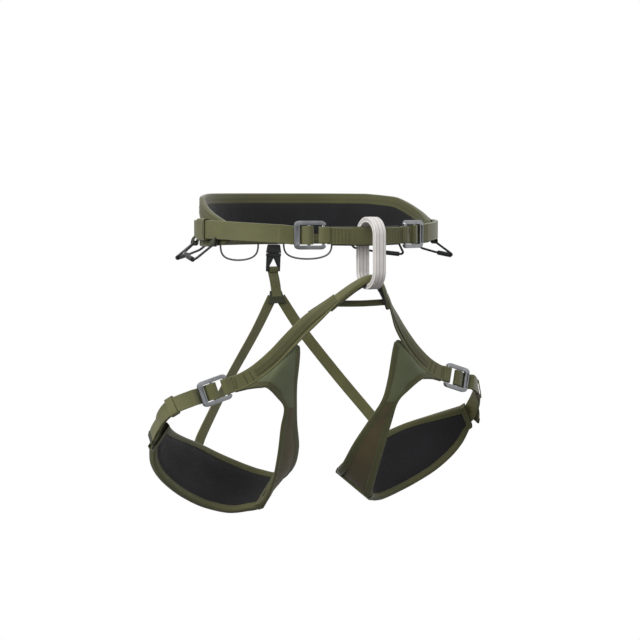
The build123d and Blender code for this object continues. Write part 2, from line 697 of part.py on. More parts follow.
tab_y = WAIST_B + PAD_OUT + GAP
with BuildPart() as clip_tab:
    with BuildSketch(Plane.YZ):
        with BuildLine():
            low = belt_z(90) - 23.2
            Polyline((tab_y, -7.0), (tab_y + 1.4, -7.0), (tab_y + 1.4, low), (tab_y, low), close=True)
        make_face()
    extrude(amount=7, both=True)

# ---------------------------------------------------------------- risers
bar_low = clip_place.from_local_coords(Vector(0, 0, -22.75))
with BuildPart(Plane(origin=bar_low, x_dir=(1, 0, 0), z_dir=clip_up)) as bar_wrap:
    Box(11.0, CLIP_FRAME_T + 2 * (GAP + RISER_T), 4.5 + 2 * (GAP + RISER_T))
    Box(12.0, CLIP_FRAME_T + 2 * GAP, 4.5 + 2 * GAP, mode=Mode.SUBTRACT)

junction = Vector(0, 109, -94)
loop_low = clip_place.from_local_coords(Vector(0, 0, -25 - GAP - RISER_T + 0.4))
riser_drop = strap([(0, loop_low.Y, loop_low.Z), (0, 114.5, -70), (0, junction.Y, junction.Z)],
                   [(0, 1, 0), (0, 1, 0.05), (0, 1, 0.15)], RISER_W, -RISER_T, RISER_T, 7)
with BuildPart() as riser_strap:
    add(bar_wrap.part)
    add(riser_drop.part)

on_band = pad_half + TAPE_GAP + TAPE_T + GAP + RISER_T / 2
riser_end = band_spot(3, 0, 11, on_band)
riser_over = band_spot(3, 0, -4, on_band + 1.2)
riser_points = [
    (6.6, junction.Y + 2 * RISER_T + 0.2, junction.Z + 5),
    (36, junction.Y - 4, -134),
    (82, 92, -194),
    (riser_over.X - 12, riser_over.Y + 5, riser_over.Z + 19),
    (riser_over.X, riser_over.Y, riser_over.Z),
    (riser_end.X, riser_end.Y, riser_end.Z),
]
riser_out = [(0, 1, 0.1), (0.15, 0.98, 0.15), (0.2, 0.97, 0.2), (0.1, 0.98, 0.15), (0.05, 0.98, 0.1), (0.05, 0.98, 0)]
riser_left = strap(riser_points, riser_out, RISER_W, -RISER_T / 2, RISER_T / 2, 14)

left_only = {
    "leg_lining": leg_lining_left, "leg_foam": leg_foam_left, "leg_shell": leg_shell_left,
    "leg_inner_panel": leg_inner_panel_left, "leg_front_panel": leg_front_panel_left,
    "leg_upper_tape": leg_upper_tape_left, "leg_lower_tape": leg_lower_tape_left,
    "front_strap": front_strap_left, "leg_adjust_strap": leg_adjust_strap_left, "leg_keeper": leg_keeper_left,
    "leg_buckle": leg_buckle_left, "leg_fold": leg_fold_left, "riser": riser_left,
    "waist_buckle": waist_buckle_left, "waist_fold": waist_fold_left,
    "waist_keeper": waist_keeper_left, "side_loop": side_loop_left, "side_sleeve": side_sleeve_left,
    "rear_loop": rear_loop_left, "rear_sleeve": rear_sleeve_left, "cord_loop": cord_loop_left,
}
middle_pieces = {
    "waist_lining": waist_lining, "waist_foam": waist_foam, "waist_shell": waist_shell,
    "waist_binding": waist_binding, "waist_webbing": waist_webbing, "tie_in_webbing": tie_in_webbing,
    "tie_in_guard": tie_in_guard, "belay_loop": belay_loop, "tie_in_arch": tie_in_arch,
    "arch_guard": arch_guard, "bridge_strap": bridge_strap, "clip_socket": clip_socket,
    "clip_tongue": clip_tongue, "clip_tab": clip_tab, "riser_strap": riser_strap,
}

pieces = dict(middle_pieces)
for name, body in left_only.items():
    pieces[name + "_left"] = body
    pieces[name + "_right"] = mirrored(body)
with BuildPart() as gear_anchors:
    add(gear_anchors_left.part)
    add(gear_anchors_right.part)
pieces["gear_anchors"] = gear_anchors

for name, body in pieces.items():
    body.part.label = name
    export_step(body.part, "parts/" + name + ".step")
print(len(pieces), "pieces")
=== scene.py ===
import math

import bmesh
import bpy
from mathutils import Matrix, Vector, noise


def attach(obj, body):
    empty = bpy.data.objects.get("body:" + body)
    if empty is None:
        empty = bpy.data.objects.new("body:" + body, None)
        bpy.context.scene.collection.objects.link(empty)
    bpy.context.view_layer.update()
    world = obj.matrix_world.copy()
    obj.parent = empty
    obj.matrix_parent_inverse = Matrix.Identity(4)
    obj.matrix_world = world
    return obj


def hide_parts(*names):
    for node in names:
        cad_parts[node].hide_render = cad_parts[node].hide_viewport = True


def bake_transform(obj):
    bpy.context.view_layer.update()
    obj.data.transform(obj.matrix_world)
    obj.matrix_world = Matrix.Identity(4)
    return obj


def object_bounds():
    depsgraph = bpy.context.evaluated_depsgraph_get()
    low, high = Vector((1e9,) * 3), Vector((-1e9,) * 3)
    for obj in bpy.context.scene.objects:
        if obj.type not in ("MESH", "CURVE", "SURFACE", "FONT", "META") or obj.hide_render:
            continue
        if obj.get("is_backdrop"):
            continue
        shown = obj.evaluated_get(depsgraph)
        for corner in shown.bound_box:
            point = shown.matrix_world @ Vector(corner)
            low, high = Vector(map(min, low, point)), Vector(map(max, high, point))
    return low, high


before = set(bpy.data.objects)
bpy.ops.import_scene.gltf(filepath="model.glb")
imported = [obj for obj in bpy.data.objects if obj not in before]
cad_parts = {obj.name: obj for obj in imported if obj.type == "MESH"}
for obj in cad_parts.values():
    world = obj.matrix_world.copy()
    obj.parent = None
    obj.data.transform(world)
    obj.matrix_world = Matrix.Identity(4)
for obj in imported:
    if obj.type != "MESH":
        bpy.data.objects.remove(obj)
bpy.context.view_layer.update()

MM = 0.001
SIDES = (("left", 1), ("right", -1))

# ------------------------------------------------------------------ sizes, in millimetres, as in the CAD
WAIST_A, WAIST_B = 165.0, 125.0
LEG_X, LEG_Y = 130.0, -5.0
WEB_W, WEB_T = 23.0, 2.0
STRAP_W, STRAP_T = 20.0, 1.8
RISER_W, RISER_T = 15.0, 1.4
BELAY_Y, BELAY_TOP, BELAY_TALL, BELAY_DEEP = -133.3, 22.0, 90.0, 46.0
BELAY_T, BELAY_W = 6.5, 16.0
ARCH_Z, ARCH_END_X = -52.5, 33.0
BUCKLE_L, BAR_R, RAIL = 39.0, 2.0, 5.0
BUCKLE_ANGLE = 21.0
PAD_HALF, PANEL_HALF = 3.0, 1.0
LEG_TAPE, WAIST_TAPE = 9.0, 13.0
TAPE_T, SKIN, WAIST_FOAM = 0.8, 1.0, 4.4
GAP, PAD_GAP = 0.3, 2.4


# ------------------------------------------------------------------ belt and leg lines
def belt_point(angle, out=0.0, z=0.0):
    a = math.radians(angle)
    return Vector(((WAIST_A + out) * math.sin(a), -(WAIST_B + out) * math.cos(a), z))


def belt_along(angle):
    a = math.radians(angle)
    return Vector((WAIST_A * math.cos(a), WAIST_B * math.sin(a), 0)).normalized()


def belt_out(angle):
    along = belt_along(angle)
    return Vector((along.y, -along.x, 0))


def belt_z(angle):
    turn = abs((angle + 180.0) % 360.0 - 180.0)
    return -2.0 + 8.0 * math.sin(math.radians(min(turn, 90.0))) ** 2


def leg_point(x, y, z):
    return Vector((LEG_X + x, LEG_Y + y, z))


def smooth_row(points, count):
    """Points evenly stepped along a smooth curve through the given ones, as (place, direction, share)."""
    pts = [Vector(p) for p in points]
    ends = [pts[0] * 2 - pts[1]] + pts + [pts[-1] * 2 - pts[-2]]
    row = []
    last = len(pts) - 1
    for i in range(count):
        t = i / (count - 1) * last
        k = min(int(t), last - 1)
        f = t - k
        a, b, c, d = ends[k:k + 4]
        bend = 2 * a - 5 * b + 4 * c - d
        twist = 3 * b - a - 3 * c + d
        place = 0.5 * (2 * b + (c - a) * f + bend * f ** 2 + twist * f ** 3)
        way = 0.5 * ((c - a) + 2 * bend * f + 3 * twist * f ** 2)
        row.append((place, way.normalized(), t))
    return row


def strap_row(points, facings, count):
    """Stations of a strap: (place, across, outward, length so far)."""
    row = []
    done = 0.0
    before = None
    for place, way, t in smooth_row(points, count):
        k = min(int(t), len(facings) - 2)
        near = Vector(facings[k]).lerp(Vector(facings[k + 1]), t - k)
        across = way.cross(near).normalized()
        out = across.cross(way).normalized()
        if before is not None:
            done += (place - before).length
        before = place
        row.append((place, across, out, done))
    return row


# ------------------------------------------------------------------ mesh helpers
def new_piece(name, verts, faces, uvs, material, smooth=40):
    """A mesh piece in metres from millimetre points, with one UV per face corner."""
    mesh = bpy.data.meshes.new(name)
    mesh.from_pydata([tuple(Vector(v) * MM) for v in verts], [], faces)
    layer = mesh.uv_layers.new(name="strap")
    i = 0
    for corner in uvs:
        for uv in corner:
            layer.data[i].uv = uv
            i += 1
    piece = bpy.data.objects.new(name, mesh)
    bpy.context.collection.objects.link(piece)
    mesh.materials.append(material)
    finish_surface(piece, smooth)
    return piece


def finish_surface(piece, angle):
    """Normals outwards, smooth shading with crisp folds."""
    b = bmesh.new()
    b.from_mesh(piece.data)
    bmesh.ops.recalc_face_normals(b, faces=b.faces)
    for f in b.faces:
        f.smooth = True
    for e in b.edges:
        if len(e.link_faces) == 2 and e.calc_face_angle(0) > math.radians(angle):
            e.smooth = False
    b.to_mesh(piece.data)
    b.free()


def ribbon(name, row, profile, material, closed=False, smooth=40):
    """Sweeps a closed cross-section along stations. The profile gives (across, out) points for a station."""
    verts, faces, uvs = [], [], []
    rings = [profile(i, row[i]) for i in range(len(row))]
    n = len(rings[0])
    for (place, across, out, done), ring in zip(row, rings):
        for v, h in ring:
            verts.append(place + across * v + out * h)
    spans = [0.0]
    mid = rings[len(rings) // 2]
    for j in range(n):
        p, q = mid[j], mid[(j + 1) % n]
        spans.append(spans[-1] + math.hypot(q[0] - p[0], q[1] - p[1]))
    total = len(row)
    for i in range(total if closed else total - 1):
        k = (i + 1) % total
        start = row[i][3]
        end = row[k][3] if k else row[i][3] + (row[1][3] - row[0][3])
        for j in range(n):
            m = (j + 1) % n
            faces.append((i * n + j, i * n + m, k * n + m, k * n + j))
            u0, u1 = spans[j] * MM, spans[j + 1] * MM
            uvs.append(((u0, start * MM), (u1, start * MM), (u1, end * MM), (u0, end * MM)))
    if not closed:
        for base, flip in ((0, True), ((total - 1) * n, False)):
            cap = list(range(base, base + n))
            ring = rings[0 if flip else -1]
            corner = [(v * MM, h * MM) for v, h in ring]
            if flip:
                cap.reverse()
                corner.reverse()
            faces.append(tuple(cap))
            uvs.append(tuple(corner))
    return new_piece(name, verts, faces, uvs, material, smooth)


def join(name, pieces):
    """Makes one piece of several."""
    bpy.ops.object.select_all(action="DESELECT")
    for p in pieces:
        p.select_set(True)
    bpy.context.view_layer.objects.active = pieces[0]
    bpy.ops.object.join()
    whole = bpy.context.view_layer.objects.active
    whole.name = name
    whole.data.name = name
    return whole


def mirror_copy(piece, name):
    """The same piece on the wearer's right, with its own mesh."""
    other = piece.copy()
    other.data = piece.data.copy()
    other.name = name
    other.data.name = name
    bpy.context.collection.objects.link(other)
    b = bmesh.new()
    b.from_mesh(other.data)
    for v in b.verts:
        v.co.x = -v.co.x
    bmesh.ops.reverse_faces(b, faces=b.faces)
    b.to_mesh(other.data)
    b.free()
    return other


def web_profile(width, thick, low=0.0, edge=0.55, steps=8):
    """Cross-section of flat webbing with rounded, slightly thicker edges."""
    half = width / 2
    top, bottom = [], []
    for k in range(steps + 1):
        v = -half + edge + (width - 2 * edge) * k / steps
        lip = 0.12 if k in (0, steps) else 0.0
        top.append((v, low + thick + lip * 0.5))
        bottom.append((v, low - lip * 0.5))
    right = [(half - 0.1, low + thick * 0.8), (half, low + thick * 0.5), (half - 0.1, low + thick * 0.2)]
    left = [(-half + 0.1, low + thick * 0.2), (-half, low + thick * 0.5), (-half + 0.1, low + thick * 0.8)]
    ring = top + right + bottom[::-1] + left
    return lambda i, s: ring


# ------------------------------------------------------------------ materials
def linear(code):
    """sRGB hex to linear colour."""
    out = []
    for k in (0, 2, 4):
        c = int(code[k:k + 2], 16) / 255
        out.append(c / 12.92 if c <= 0.04045 else ((c + 0.055) / 1.055) ** 2.4)
    return (*out, 1.0)


def put(tree, kind, inputs=None, **settings):
    """Adds one node with its settings and its inputs, which are values or other nodes' outputs."""
    node = tree.nodes.new(kind)
    for key, value in settings.items():
        setattr(node, key, value)
    for key, value in (inputs or {}).items():
        if isinstance(value, bpy.types.NodeSocket):
            tree.links.new(value, node.inputs[key])
        else:
            node.inputs[key].default_value = value
    return node


def start_material(name):
    material = bpy.data.materials.new(name)
    material.use_nodes = True
    tree = material.node_tree
    tree.nodes.clear()
    return material, tree


def sine(tree, source, pitch_mm, phase=0.0):
    """0 to 1 wave along a coordinate in metres, once per pitch."""
    turn = put(tree, "ShaderNodeMath", {0: source, 1: 2 * math.pi / (pitch_mm * MM)}, operation="MULTIPLY")
    moved = put(tree, "ShaderNodeMath", {0: turn.outputs[0], 1: phase}, operation="ADD")
    wave = put(tree, "ShaderNodeMath", {0: moved.outputs[0]}, operation="SINE")
    level = put(tree, "ShaderNodeMath", {0: wave.outputs[0], 1: 0.5, 2: 0.5}, operation="MULTIPLY_ADD")
    return level.outputs[0]


def woven(name, dark, light, across_mm, along_mm, rough=0.72, sheen=0.25, depth=0.25, twill=0.0):
    """Woven textile: warp ribs across, weft picks along, uneven dye and a soft sheen."""
    material, tree = start_material(name)
    uv = put(tree, "ShaderNodeUVMap", uv_map="strap")
    axes = put(tree, "ShaderNodeSeparateXYZ", {0: uv.outputs[0]})
    lean = put(tree, "ShaderNodeMath", {0: axes.outputs[1], 1: twill, 2: axes.outputs[0]},
               operation="MULTIPLY_ADD")
    warp = sine(tree, lean.outputs[0], across_mm)
    half_step = put(tree, "ShaderNodeMath", {0: warp, 1: 0.5}, operation="GREATER_THAN")
    shift = put(tree, "ShaderNodeMath", {0: half_step.outputs[0], 1: along_mm * MM * 0.5, 2: axes.outputs[1]},
                operation="MULTIPLY_ADD")
    weft = sine(tree, shift.outputs[0], along_mm)
    cloth = put(tree, "ShaderNodeMath", {0: warp, 1: weft}, operation="MULTIPLY")
    place = put(tree, "ShaderNodeTexCoord")
    dye = put(tree, "ShaderNodeTexNoise", {"Vector": place.outputs["Object"], "Scale": 38.0, "Detail": 4.0})
    fuzz = put(tree, "ShaderNodeTexNoise", {"Vector": place.outputs["Object"], "Scale": 900.0, "Detail": 2.0})
    blend = put(tree, "ShaderNodeMath", {0: cloth.outputs[0], 1: 0.45, 2: 0.1}, operation="MULTIPLY_ADD")
    uneven = put(tree, "ShaderNodeMath", {0: dye.outputs["Fac"], 1: 0.7, 2: blend.outputs[0]},
                 operation="MULTIPLY_ADD")
    colour = put(tree, "ShaderNodeMix", {0: uneven.outputs[0], 6: linear(dark), 7: linear(light)},
                 data_type="RGBA")
    grain = put(tree, "ShaderNodeMath", {0: fuzz.outputs["Fac"], 1: 0.4, 2: cloth.outputs[0]},
                operation="MULTIPLY_ADD")
    bump = put(tree, "ShaderNodeBump", {"Strength": depth, "Distance": 0.0005, "Height": grain.outputs[0]})
    rough_map = put(tree, "ShaderNodeMapRange", {0: dye.outputs["Fac"], 3: rough - 0.08, 4: rough + 0.08})
    shader = put(tree, "ShaderNodeBsdfPrincipled", {
        "Base Color": colour.outputs[2], "Roughness": rough_map.outputs[0], "Normal": bump.outputs[0],
        "Sheen Weight": sheen, "Sheen Roughness": 0.5, "Specular IOR Level": 0.35})
    put(tree, "ShaderNodeOutputMaterial", {"Surface": shader.outputs[0]})
    return material


def spacer_mesh():
    """Polyester spacer mesh lining: matt black knit with a grid of small open cells 2.2 mm apart."""
    material, tree = start_material("black_spacer_mesh")
    uv = put(tree, "ShaderNodeUVMap", uv_map="strap")
    cells = put(tree, "ShaderNodeTexVoronoi", {
        "Vector": uv.outputs[0], "Scale": 1 / (2.2 * MM), "Randomness": 0.12}, feature="F1")
    place = put(tree, "ShaderNodeTexCoord")
    worn = put(tree, "ShaderNodeTexNoise", {"Vector": place.outputs["Object"], "Scale": 30.0, "Detail": 5.0})
    hole = put(tree, "ShaderNodeMapRange", {0: cells.outputs["Distance"], 1: 0.12, 2: 0.42})
    shade = put(tree, "ShaderNodeMath", {0: worn.outputs["Fac"], 1: 0.5, 2: 0.1}, operation="MULTIPLY_ADD")
    knit = put(tree, "ShaderNodeMath", {0: hole.outputs[0], 1: shade.outputs[0]}, operation="MULTIPLY")
    colour = put(tree, "ShaderNodeMix", {0: knit.outputs[0], 6: linear("0c0c0e"), 7: linear("2b2b2e")},
                 data_type="RGBA")
    bump = put(tree, "ShaderNodeBump", {"Strength": 0.5, "Distance": 0.0006, "Height": hole.outputs[0]})
    shader = put(tree, "ShaderNodeBsdfPrincipled", {
        "Base Color": colour.outputs[2], "Roughness": 0.85, "Normal": bump.outputs[0], "Sheen Weight": 0.15,
        "Specular IOR Level": 0.25})
    put(tree, "ShaderNodeOutputMaterial", {"Surface": shader.outputs[0]})
    return material


def belay_webbing():
    """Polyamide belay webbing: pale grey with darker tracer yarns running lengthwise and a plain weave."""
    material, tree = start_material("pale_polyamide_webbing")
    uv = put(tree, "ShaderNodeUVMap", uv_map="strap")
    axes = put(tree, "ShaderNodeSeparateXYZ", {0: uv.outputs[0]})
    tracer = sine(tree, axes.outputs[0], 5.2, 1.1)
    sharp = put(tree, "ShaderNodeMapRange", {0: tracer, 1: 0.72, 2: 0.88})
    warp = sine(tree, axes.outputs[0], 1.1)
    weft = sine(tree, axes.outputs[1], 1.3)
    cloth = put(tree, "ShaderNodeMath", {0: warp, 1: weft}, operation="MULTIPLY")
    place = put(tree, "ShaderNodeTexCoord")
    dust = put(tree, "ShaderNodeTexNoise", {"Vector": place.outputs["Object"], "Scale": 60.0, "Detail": 5.0})
    base = put(tree, "ShaderNodeMix", {0: dust.outputs["Fac"], 6: linear("bdb9b4"), 7: linear("dedbd8")},
               data_type="RGBA")
    amount = put(tree, "ShaderNodeMath", {0: sharp.outputs[0], 1: 0.55}, operation="MULTIPLY")
    colour = put(tree, "ShaderNodeMix", {0: amount.outputs[0], 6: base.outputs[2], 7: linear("8f8688")},
                 data_type="RGBA")
    bump = put(tree, "ShaderNodeBump", {"Strength": 0.3, "Distance": 0.0005, "Height": cloth.outputs[0]})
    shader = put(tree, "ShaderNodeBsdfPrincipled", {
        "Base Color": colour.outputs[2], "Roughness": 0.68, "Normal": bump.outputs[0], "Sheen Weight": 0.2})
    put(tree, "ShaderNodeOutputMaterial", {"Surface": shader.outputs[0]})
    return material


def forged_aluminium():
    """Forged and tumbled aluminium: satin metal, patchy in tone, with fine scratches."""
    material, tree = start_material("forged_satin_aluminium")
    place = put(tree, "ShaderNodeTexCoord")
    spot = place.outputs["Object"]
    tumble = put(tree, "ShaderNodeTexNoise", {"Vector": spot, "Scale": 140.0, "Detail": 6.0})
    stretch = put(tree, "ShaderNodeMapping", {"Vector": spot, "Scale": (2500.0, 300.0, 900.0)})
    scratch = put(tree, "ShaderNodeTexNoise", {"Vector": stretch.outputs[0], "Scale": 1.0, "Detail": 3.0})
    colour = put(tree, "ShaderNodeMix", {0: tumble.outputs["Fac"], 6: linear("7e8084"), 7: linear("b4b5b8")},
                 data_type="RGBA")
    rough = put(tree, "ShaderNodeMapRange", {0: scratch.outputs["Fac"], 3: 0.28, 4: 0.46})
    fine = scratch.outputs["Fac"]
    bump = put(tree, "ShaderNodeBump", {"Strength": 0.08, "Distance": 0.0002, "Height": fine})
    shader = put(tree, "ShaderNodeBsdfPrincipled", {
        "Base Color": colour.outputs[2], "Metallic": 1.0, "Roughness": rough.outputs[0],
        "Normal": bump.outputs[0]})
    put(tree, "ShaderNodeOutputMaterial", {"Surface": shader.outputs[0]})
    return material


def moulded_nylon(name, dark, light, rough):
    """Moulded or coated nylon: satin, with a fine grain and rubbed patches."""
    material, tree = start_material(name)
    place = put(tree, "ShaderNodeTexCoord")
    spot = place.outputs["Object"]
    grain = put(tree, "ShaderNodeTexNoise", {"Vector": spot, "Scale": 2200.0, "Detail": 2.0})
    rub = put(tree, "ShaderNodeTexNoise", {"Vector": spot, "Scale": 90.0, "Detail": 4.0})
    colour = put(tree, "ShaderNodeMix", {0: rub.outputs["Fac"], 6: linear(dark), 7: linear(light)},
                 data_type="RGBA")
    level = put(tree, "ShaderNodeMapRange", {0: rub.outputs["Fac"], 3: rough - 0.07, 4: rough + 0.1})
    bump = put(tree, "ShaderNodeBump", {"Strength": 0.15, "Distance": 0.0002, "Height": grain.outputs["Fac"]})
    shader = put(tree, "ShaderNodeBsdfPrincipled", {
        "Base Color": colour.outputs[2], "Roughness": level.outputs[0], "Normal": bump.outputs[0]})
    put(tree, "ShaderNodeOutputMaterial", {"Surface": shader.outputs[0]})
    return material


# Polyamide belt webbing: warp ribs 1.5 mm apart, drawn coarser than real so that they show.
OLIVE_WEB = woven("olive_polyamide_webbing", "3b3b20", "64633a", 1.5, 1.3, rough=0.62, sheen=0.3, depth=0.3)
# Grosgrain edge binding: ribs across the tape, darker than the webbing.
BINDING = woven("olive_grosgrain_binding", "32321c", "53532e", 6.0, 0.9, rough=0.7, sheen=0.25, depth=0.35)
# Plain-woven ripstop shell over the foam.
SHELL = woven("olive_ripstop_shell", "3c3c22", "5d5c36", 0.9, 0.9, rough=0.66, sheen=0.3, depth=0.2)
# Coated laminate of the front panels: smoother and greyer.
LAMINATE = woven("grey_olive_laminate", "474d33", "5f6549", 0.7, 0.7, rough=0.55, sheen=0.15, depth=0.08)
# Twill of the inner thigh panels, browner.
TWILL = woven("brown_olive_twill", "3d341e", "574c2e", 1.0, 1.0, rough=0.7, sheen=0.25, depth=0.2, twill=0.5)
# Guard, hems, sewn patches and gear-loop tabs: dark, tight weave.
DARK_WEB = woven("dark_elastic_webbing", "1d1e13", "34361f", 1.0, 0.8, rough=0.75, sheen=0.2, depth=0.3)
# Black polyester wear strips and clip tab: narrow ribs, matt.
BLACK_WEB = woven("black_polyester_webbing", "0e0e0f", "232324", 1.2, 1.1, rough=0.75, sheen=0.2, depth=0.3)
# Lining, belay loop, buckles, clip and gear loops, and cord, as their functions say.
LINING = spacer_mesh()
BELAY = belay_webbing()
METAL = forged_aluminium()
NYLON = moulded_nylon("moulded_black_nylon", "101113", "232528", 0.42)
CORD = moulded_nylon("grey_coated_cord", "4b4c50", "707277", 0.55)


class Place:
    """Local frame: x along a strap, y across it, z outwards."""

    def __init__(self, origin, x, out):
        self.o = Vector(origin)
        self.x = Vector(x).normalized()
        self.y = Vector(out).cross(self.x).normalized()
        self.z = self.x.cross(self.y).normalized()

    def at(self, x, y=0.0, z=0.0):
        return self.o + self.x * x + self.y * y + self.z * z

    def matrix(self):
        m = Matrix((self.x, self.y, self.z)).transposed().to_4x4()
        m.translation = self.o * MM
        return m


def both(piece, body, nodes):
    """Rides the left piece on its body and adds the right one. body and nodes may end in _left."""
    right = mirror_copy(piece, piece.name.replace("_left", "_right"))
    for p, side in ((piece, "left"), (right, "right")):
        settle(p, body.replace("_left", "_" + side), [n.replace("_left", "_" + side) for n in nodes])
    return piece, right


def settle(piece, body, nodes):
    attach(piece, body)
    if nodes:
        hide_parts(*nodes)


def dashes(name, spots, material, wide=0.55, high=0.3):
    """Stitches as one piece. A spot is (centre, direction, normal, length)."""
    verts, faces, uvs = [], [], []
    for centre, way, out, length in spots:
        side = way.cross(out).normalized()
        base = len(verts)
        for s, w, h in ((-0.5, 0.3, 0.0), (-0.22, 0.5, 1.0), (0.22, 0.5, 1.0), (0.5, 0.3, 0.0)):
            for k in (-1, 1):
                verts.append(centre + way * (s * length) + side * (k * w * wide) + out * (h * high))
            for k in (1, -1):
                verts.append(centre + way * (s * length) + side * (k * w * wide) - out * 0.15)
        for r in range(3):
            for j in range(4):
                m = (j + 1) % 4
                faces.append((base + r * 4 + j, base + r * 4 + m, base + r * 4 + 4 + m, base + r * 4 + 4 + j))
        faces.append((base + 3, base + 2, base + 1, base))
        faces.append((base + 12, base + 13, base + 14, base + 15))
        uvs += [((0, 0), (0.0005, 0), (0.0005, 0.001), (0, 0.001))] * 14
    return new_piece(name, verts, faces, uvs, material, 60)


def seam(points, normals, pitch=3.4, length=2.3):
    """Running stitch along a line of points."""
    spots = []
    left = pitch / 2
    for (p, q), n in zip(zip(points, points[1:]), normals):
        step = (q - p).length
        way = (q - p).normalized()
        while left < step:
            spots.append((p + way * left, way, n, length))
            left += pitch
        left -= step
    return spots


def tack(place, x, z, half, pitch=0.85, length=2.4):
    """Bar tack across a strap: dense threads side by side."""
    spots = []
    count = int(2 * half / pitch)
    for i in range(count):
        y = -half + (i + 0.5) * 2 * half / count
        lean = place.x + place.y * (0.08 if i % 2 else -0.08)
        spots.append((place.at(x, y, z), lean.normalized(), place.z, length))
    return spots


# ------------------------------------------------------------------ waist pad
PAD_OUT = -(WEB_T + GAP + PAD_GAP)
PAD_IN = PAD_OUT - 2 * TAPE_T - 2 * SKIN - WAIST_FOAM
PAD_MID = (PAD_IN + PAD_OUT) / 2
PAD_TOP = [(-43, 2), (-42, 4), (-37, 13), (-20, 21), (5, 31), (40, 46), (75, 50.5), (110, 51), (145, 51)]
PAD_LOW = [(-43, -3), (-42, -4.5), (-34, -12), (0, -15), (65, -16), (145, -16)]
PAD_START = 69.4


def table(rows, y):
    for (y0, z0), (y1, z1) in zip(rows, rows[1:]):
        if y <= y1:
            return z0 + (z1 - z0) * max(0.0, (y - y0) / (y1 - y0))
    return rows[-1][1]


def smooth_list(values, passes):
    for _ in range(passes):
        inner = [(a + 2 * b + c) / 4 for a, b, c in zip(values, values[1:], values[2:])]
        values = [values[0]] + inner + [values[-1]]
    return values


COUNT = 181
ANGLES = [PAD_START + (360 - 2 * PAD_START) * i / (COUNT - 1) for i in range(COUNT)]
ys = [belt_point(a, PAD_MID).y for a in ANGLES]
HIGH = smooth_list([table(PAD_TOP, y) for y in ys], 5)
LOW = smooth_list([table(PAD_LOW, y) for y in ys], 5)


def wrinkle(p, size, amount):
    """Slow unevenness of soft goods, from the place."""
    return noise.noise(Vector(p) / size) * amount


def edge_line(out, heights, inward):
    """Line of the pad's edge with the direction into the pad and how wide the binding's leg is there."""
    pts = [belt_point(a, out, z) for a, z in zip(ANGLES, heights)]
    row = []
    done = 0.0
    for i, a in enumerate(ANGLES):
        way = (pts[min(i + 1, COUNT - 1)] - pts[max(i - 1, 0)]).normalized()
        outward = belt_out(a)
        across = way.cross(outward).normalized()
        if across.z * inward < 0:
            across = -across
        room = (HIGH[i] - LOW[i]) * 0.5 / max(abs(across.z), 0.35)
        if i:
            done += (pts[i] - pts[i - 1]).length
        row.append((pts[i], across, outward, done, min(WAIST_TAPE, room)))
    return row


top_line = edge_line(PAD_MID, HIGH, -1)
low_line = edge_line(PAD_MID, LOW, 1)


def u_tape(half, thick, leg):
    """Binding folded over an edge: v into the pad, h outwards."""
    t, h = half + thick, half + 0.05
    outer = [(leg, h + 0.25), (leg - 0.4, t), (leg * 0.5, t), (1.2, t), (0.1, t * 0.86), (-0.6, t * 0.5),
             (-0.8, 0)]
    inner = [(0.3, 0), (0.5, h * 0.7), (1.3, h), (leg, h)]
    return outer + [(v, -n) for v, n in outer[-2::-1]] + [(v, -n) for v, n in inner[::-1]] + inner[1:]


half_core = (PAD_OUT - PAD_IN) / 2 - TAPE_T
for label, line in (("top", top_line), ("low", low_line)):
    rows = [r[:4] for r in line]
    tape = ribbon("waist_binding_" + label, rows,
                  lambda i, s, line=line: u_tape(half_core, TAPE_T, line[i][4]), BINDING)
    settle(tape, "waist", ["waist_binding"])


def pad_ring(i, inner):
    """Section of the pad at one angle, as (height, out)."""
    lo, hi = LOW[i] + 0.9, HIGH[i] - 0.9
    wide = hi - lo
    up_leg = min(WAIST_TAPE / max(abs(top_line[i][1].z), 0.35), wide * 0.48)
    low_leg = min(WAIST_TAPE / max(abs(low_line[i][1].z), 0.35), wide * 0.48)
    a = ANGLES[i]
    puff = min(1.0, max(0.0, (wide - up_leg - low_leg) / 14))
    web = belt_z(a)
    ring = []
    count = 16
    for k in range(count + 1):
        z = lo + wide * k / count
        depth = min(z - lo - low_leg + 2, hi - up_leg - z + 2) / 5
        rise = puff * max(0.0, min(1.0, depth)) ** 0.6
        if inner:
            h = PAD_MID - half_core - rise * (1.5 + wrinkle(belt_point(a, 0, z), 22, 0.55))
        else:
            clear = min(1.0, max(0.0, (z - web - 13) / 7))
            h = PAD_MID + half_core + rise * clear * (1.5 + wrinkle(belt_point(a, 9, z), 26, 0.5))
        ring.append((z, h))
    back = PAD_MID - 0.1 if inner else PAD_MID + 0.1
    return ring + [(hi, back), (lo, back)]


pad_row = []
run = 0.0
for i, a in enumerate(ANGLES):
    if i:
        run += (belt_point(a) - belt_point(ANGLES[i - 1])).length
    pad_row.append((belt_point(a), Vector((0, 0, 1)), belt_out(a), run))
lining = ribbon("waist_lining_pad", pad_row, lambda i, s: pad_ring(i, True), LINING, smooth=55)
settle(lining, "waist", ["waist_lining", "waist_foam"])
shell = ribbon("waist_shell_pad", pad_row, lambda i, s: pad_ring(i, False), SHELL, smooth=55)
settle(shell, "waist", ["waist_shell"])

spots = []
for line in (top_line, low_line):
    for face in (-1, 1):
        pts = []
        for p, across, out, done, leg in line[6:-6]:
            pts.append(p + across * (leg - 1.6) + out * face * (half_core + 0.85))
        spots += seam(pts, [r[2] * face for r in line[6:-6]])
settle(dashes("waist_binding_stitches", spots, BINDING), "waist", [])


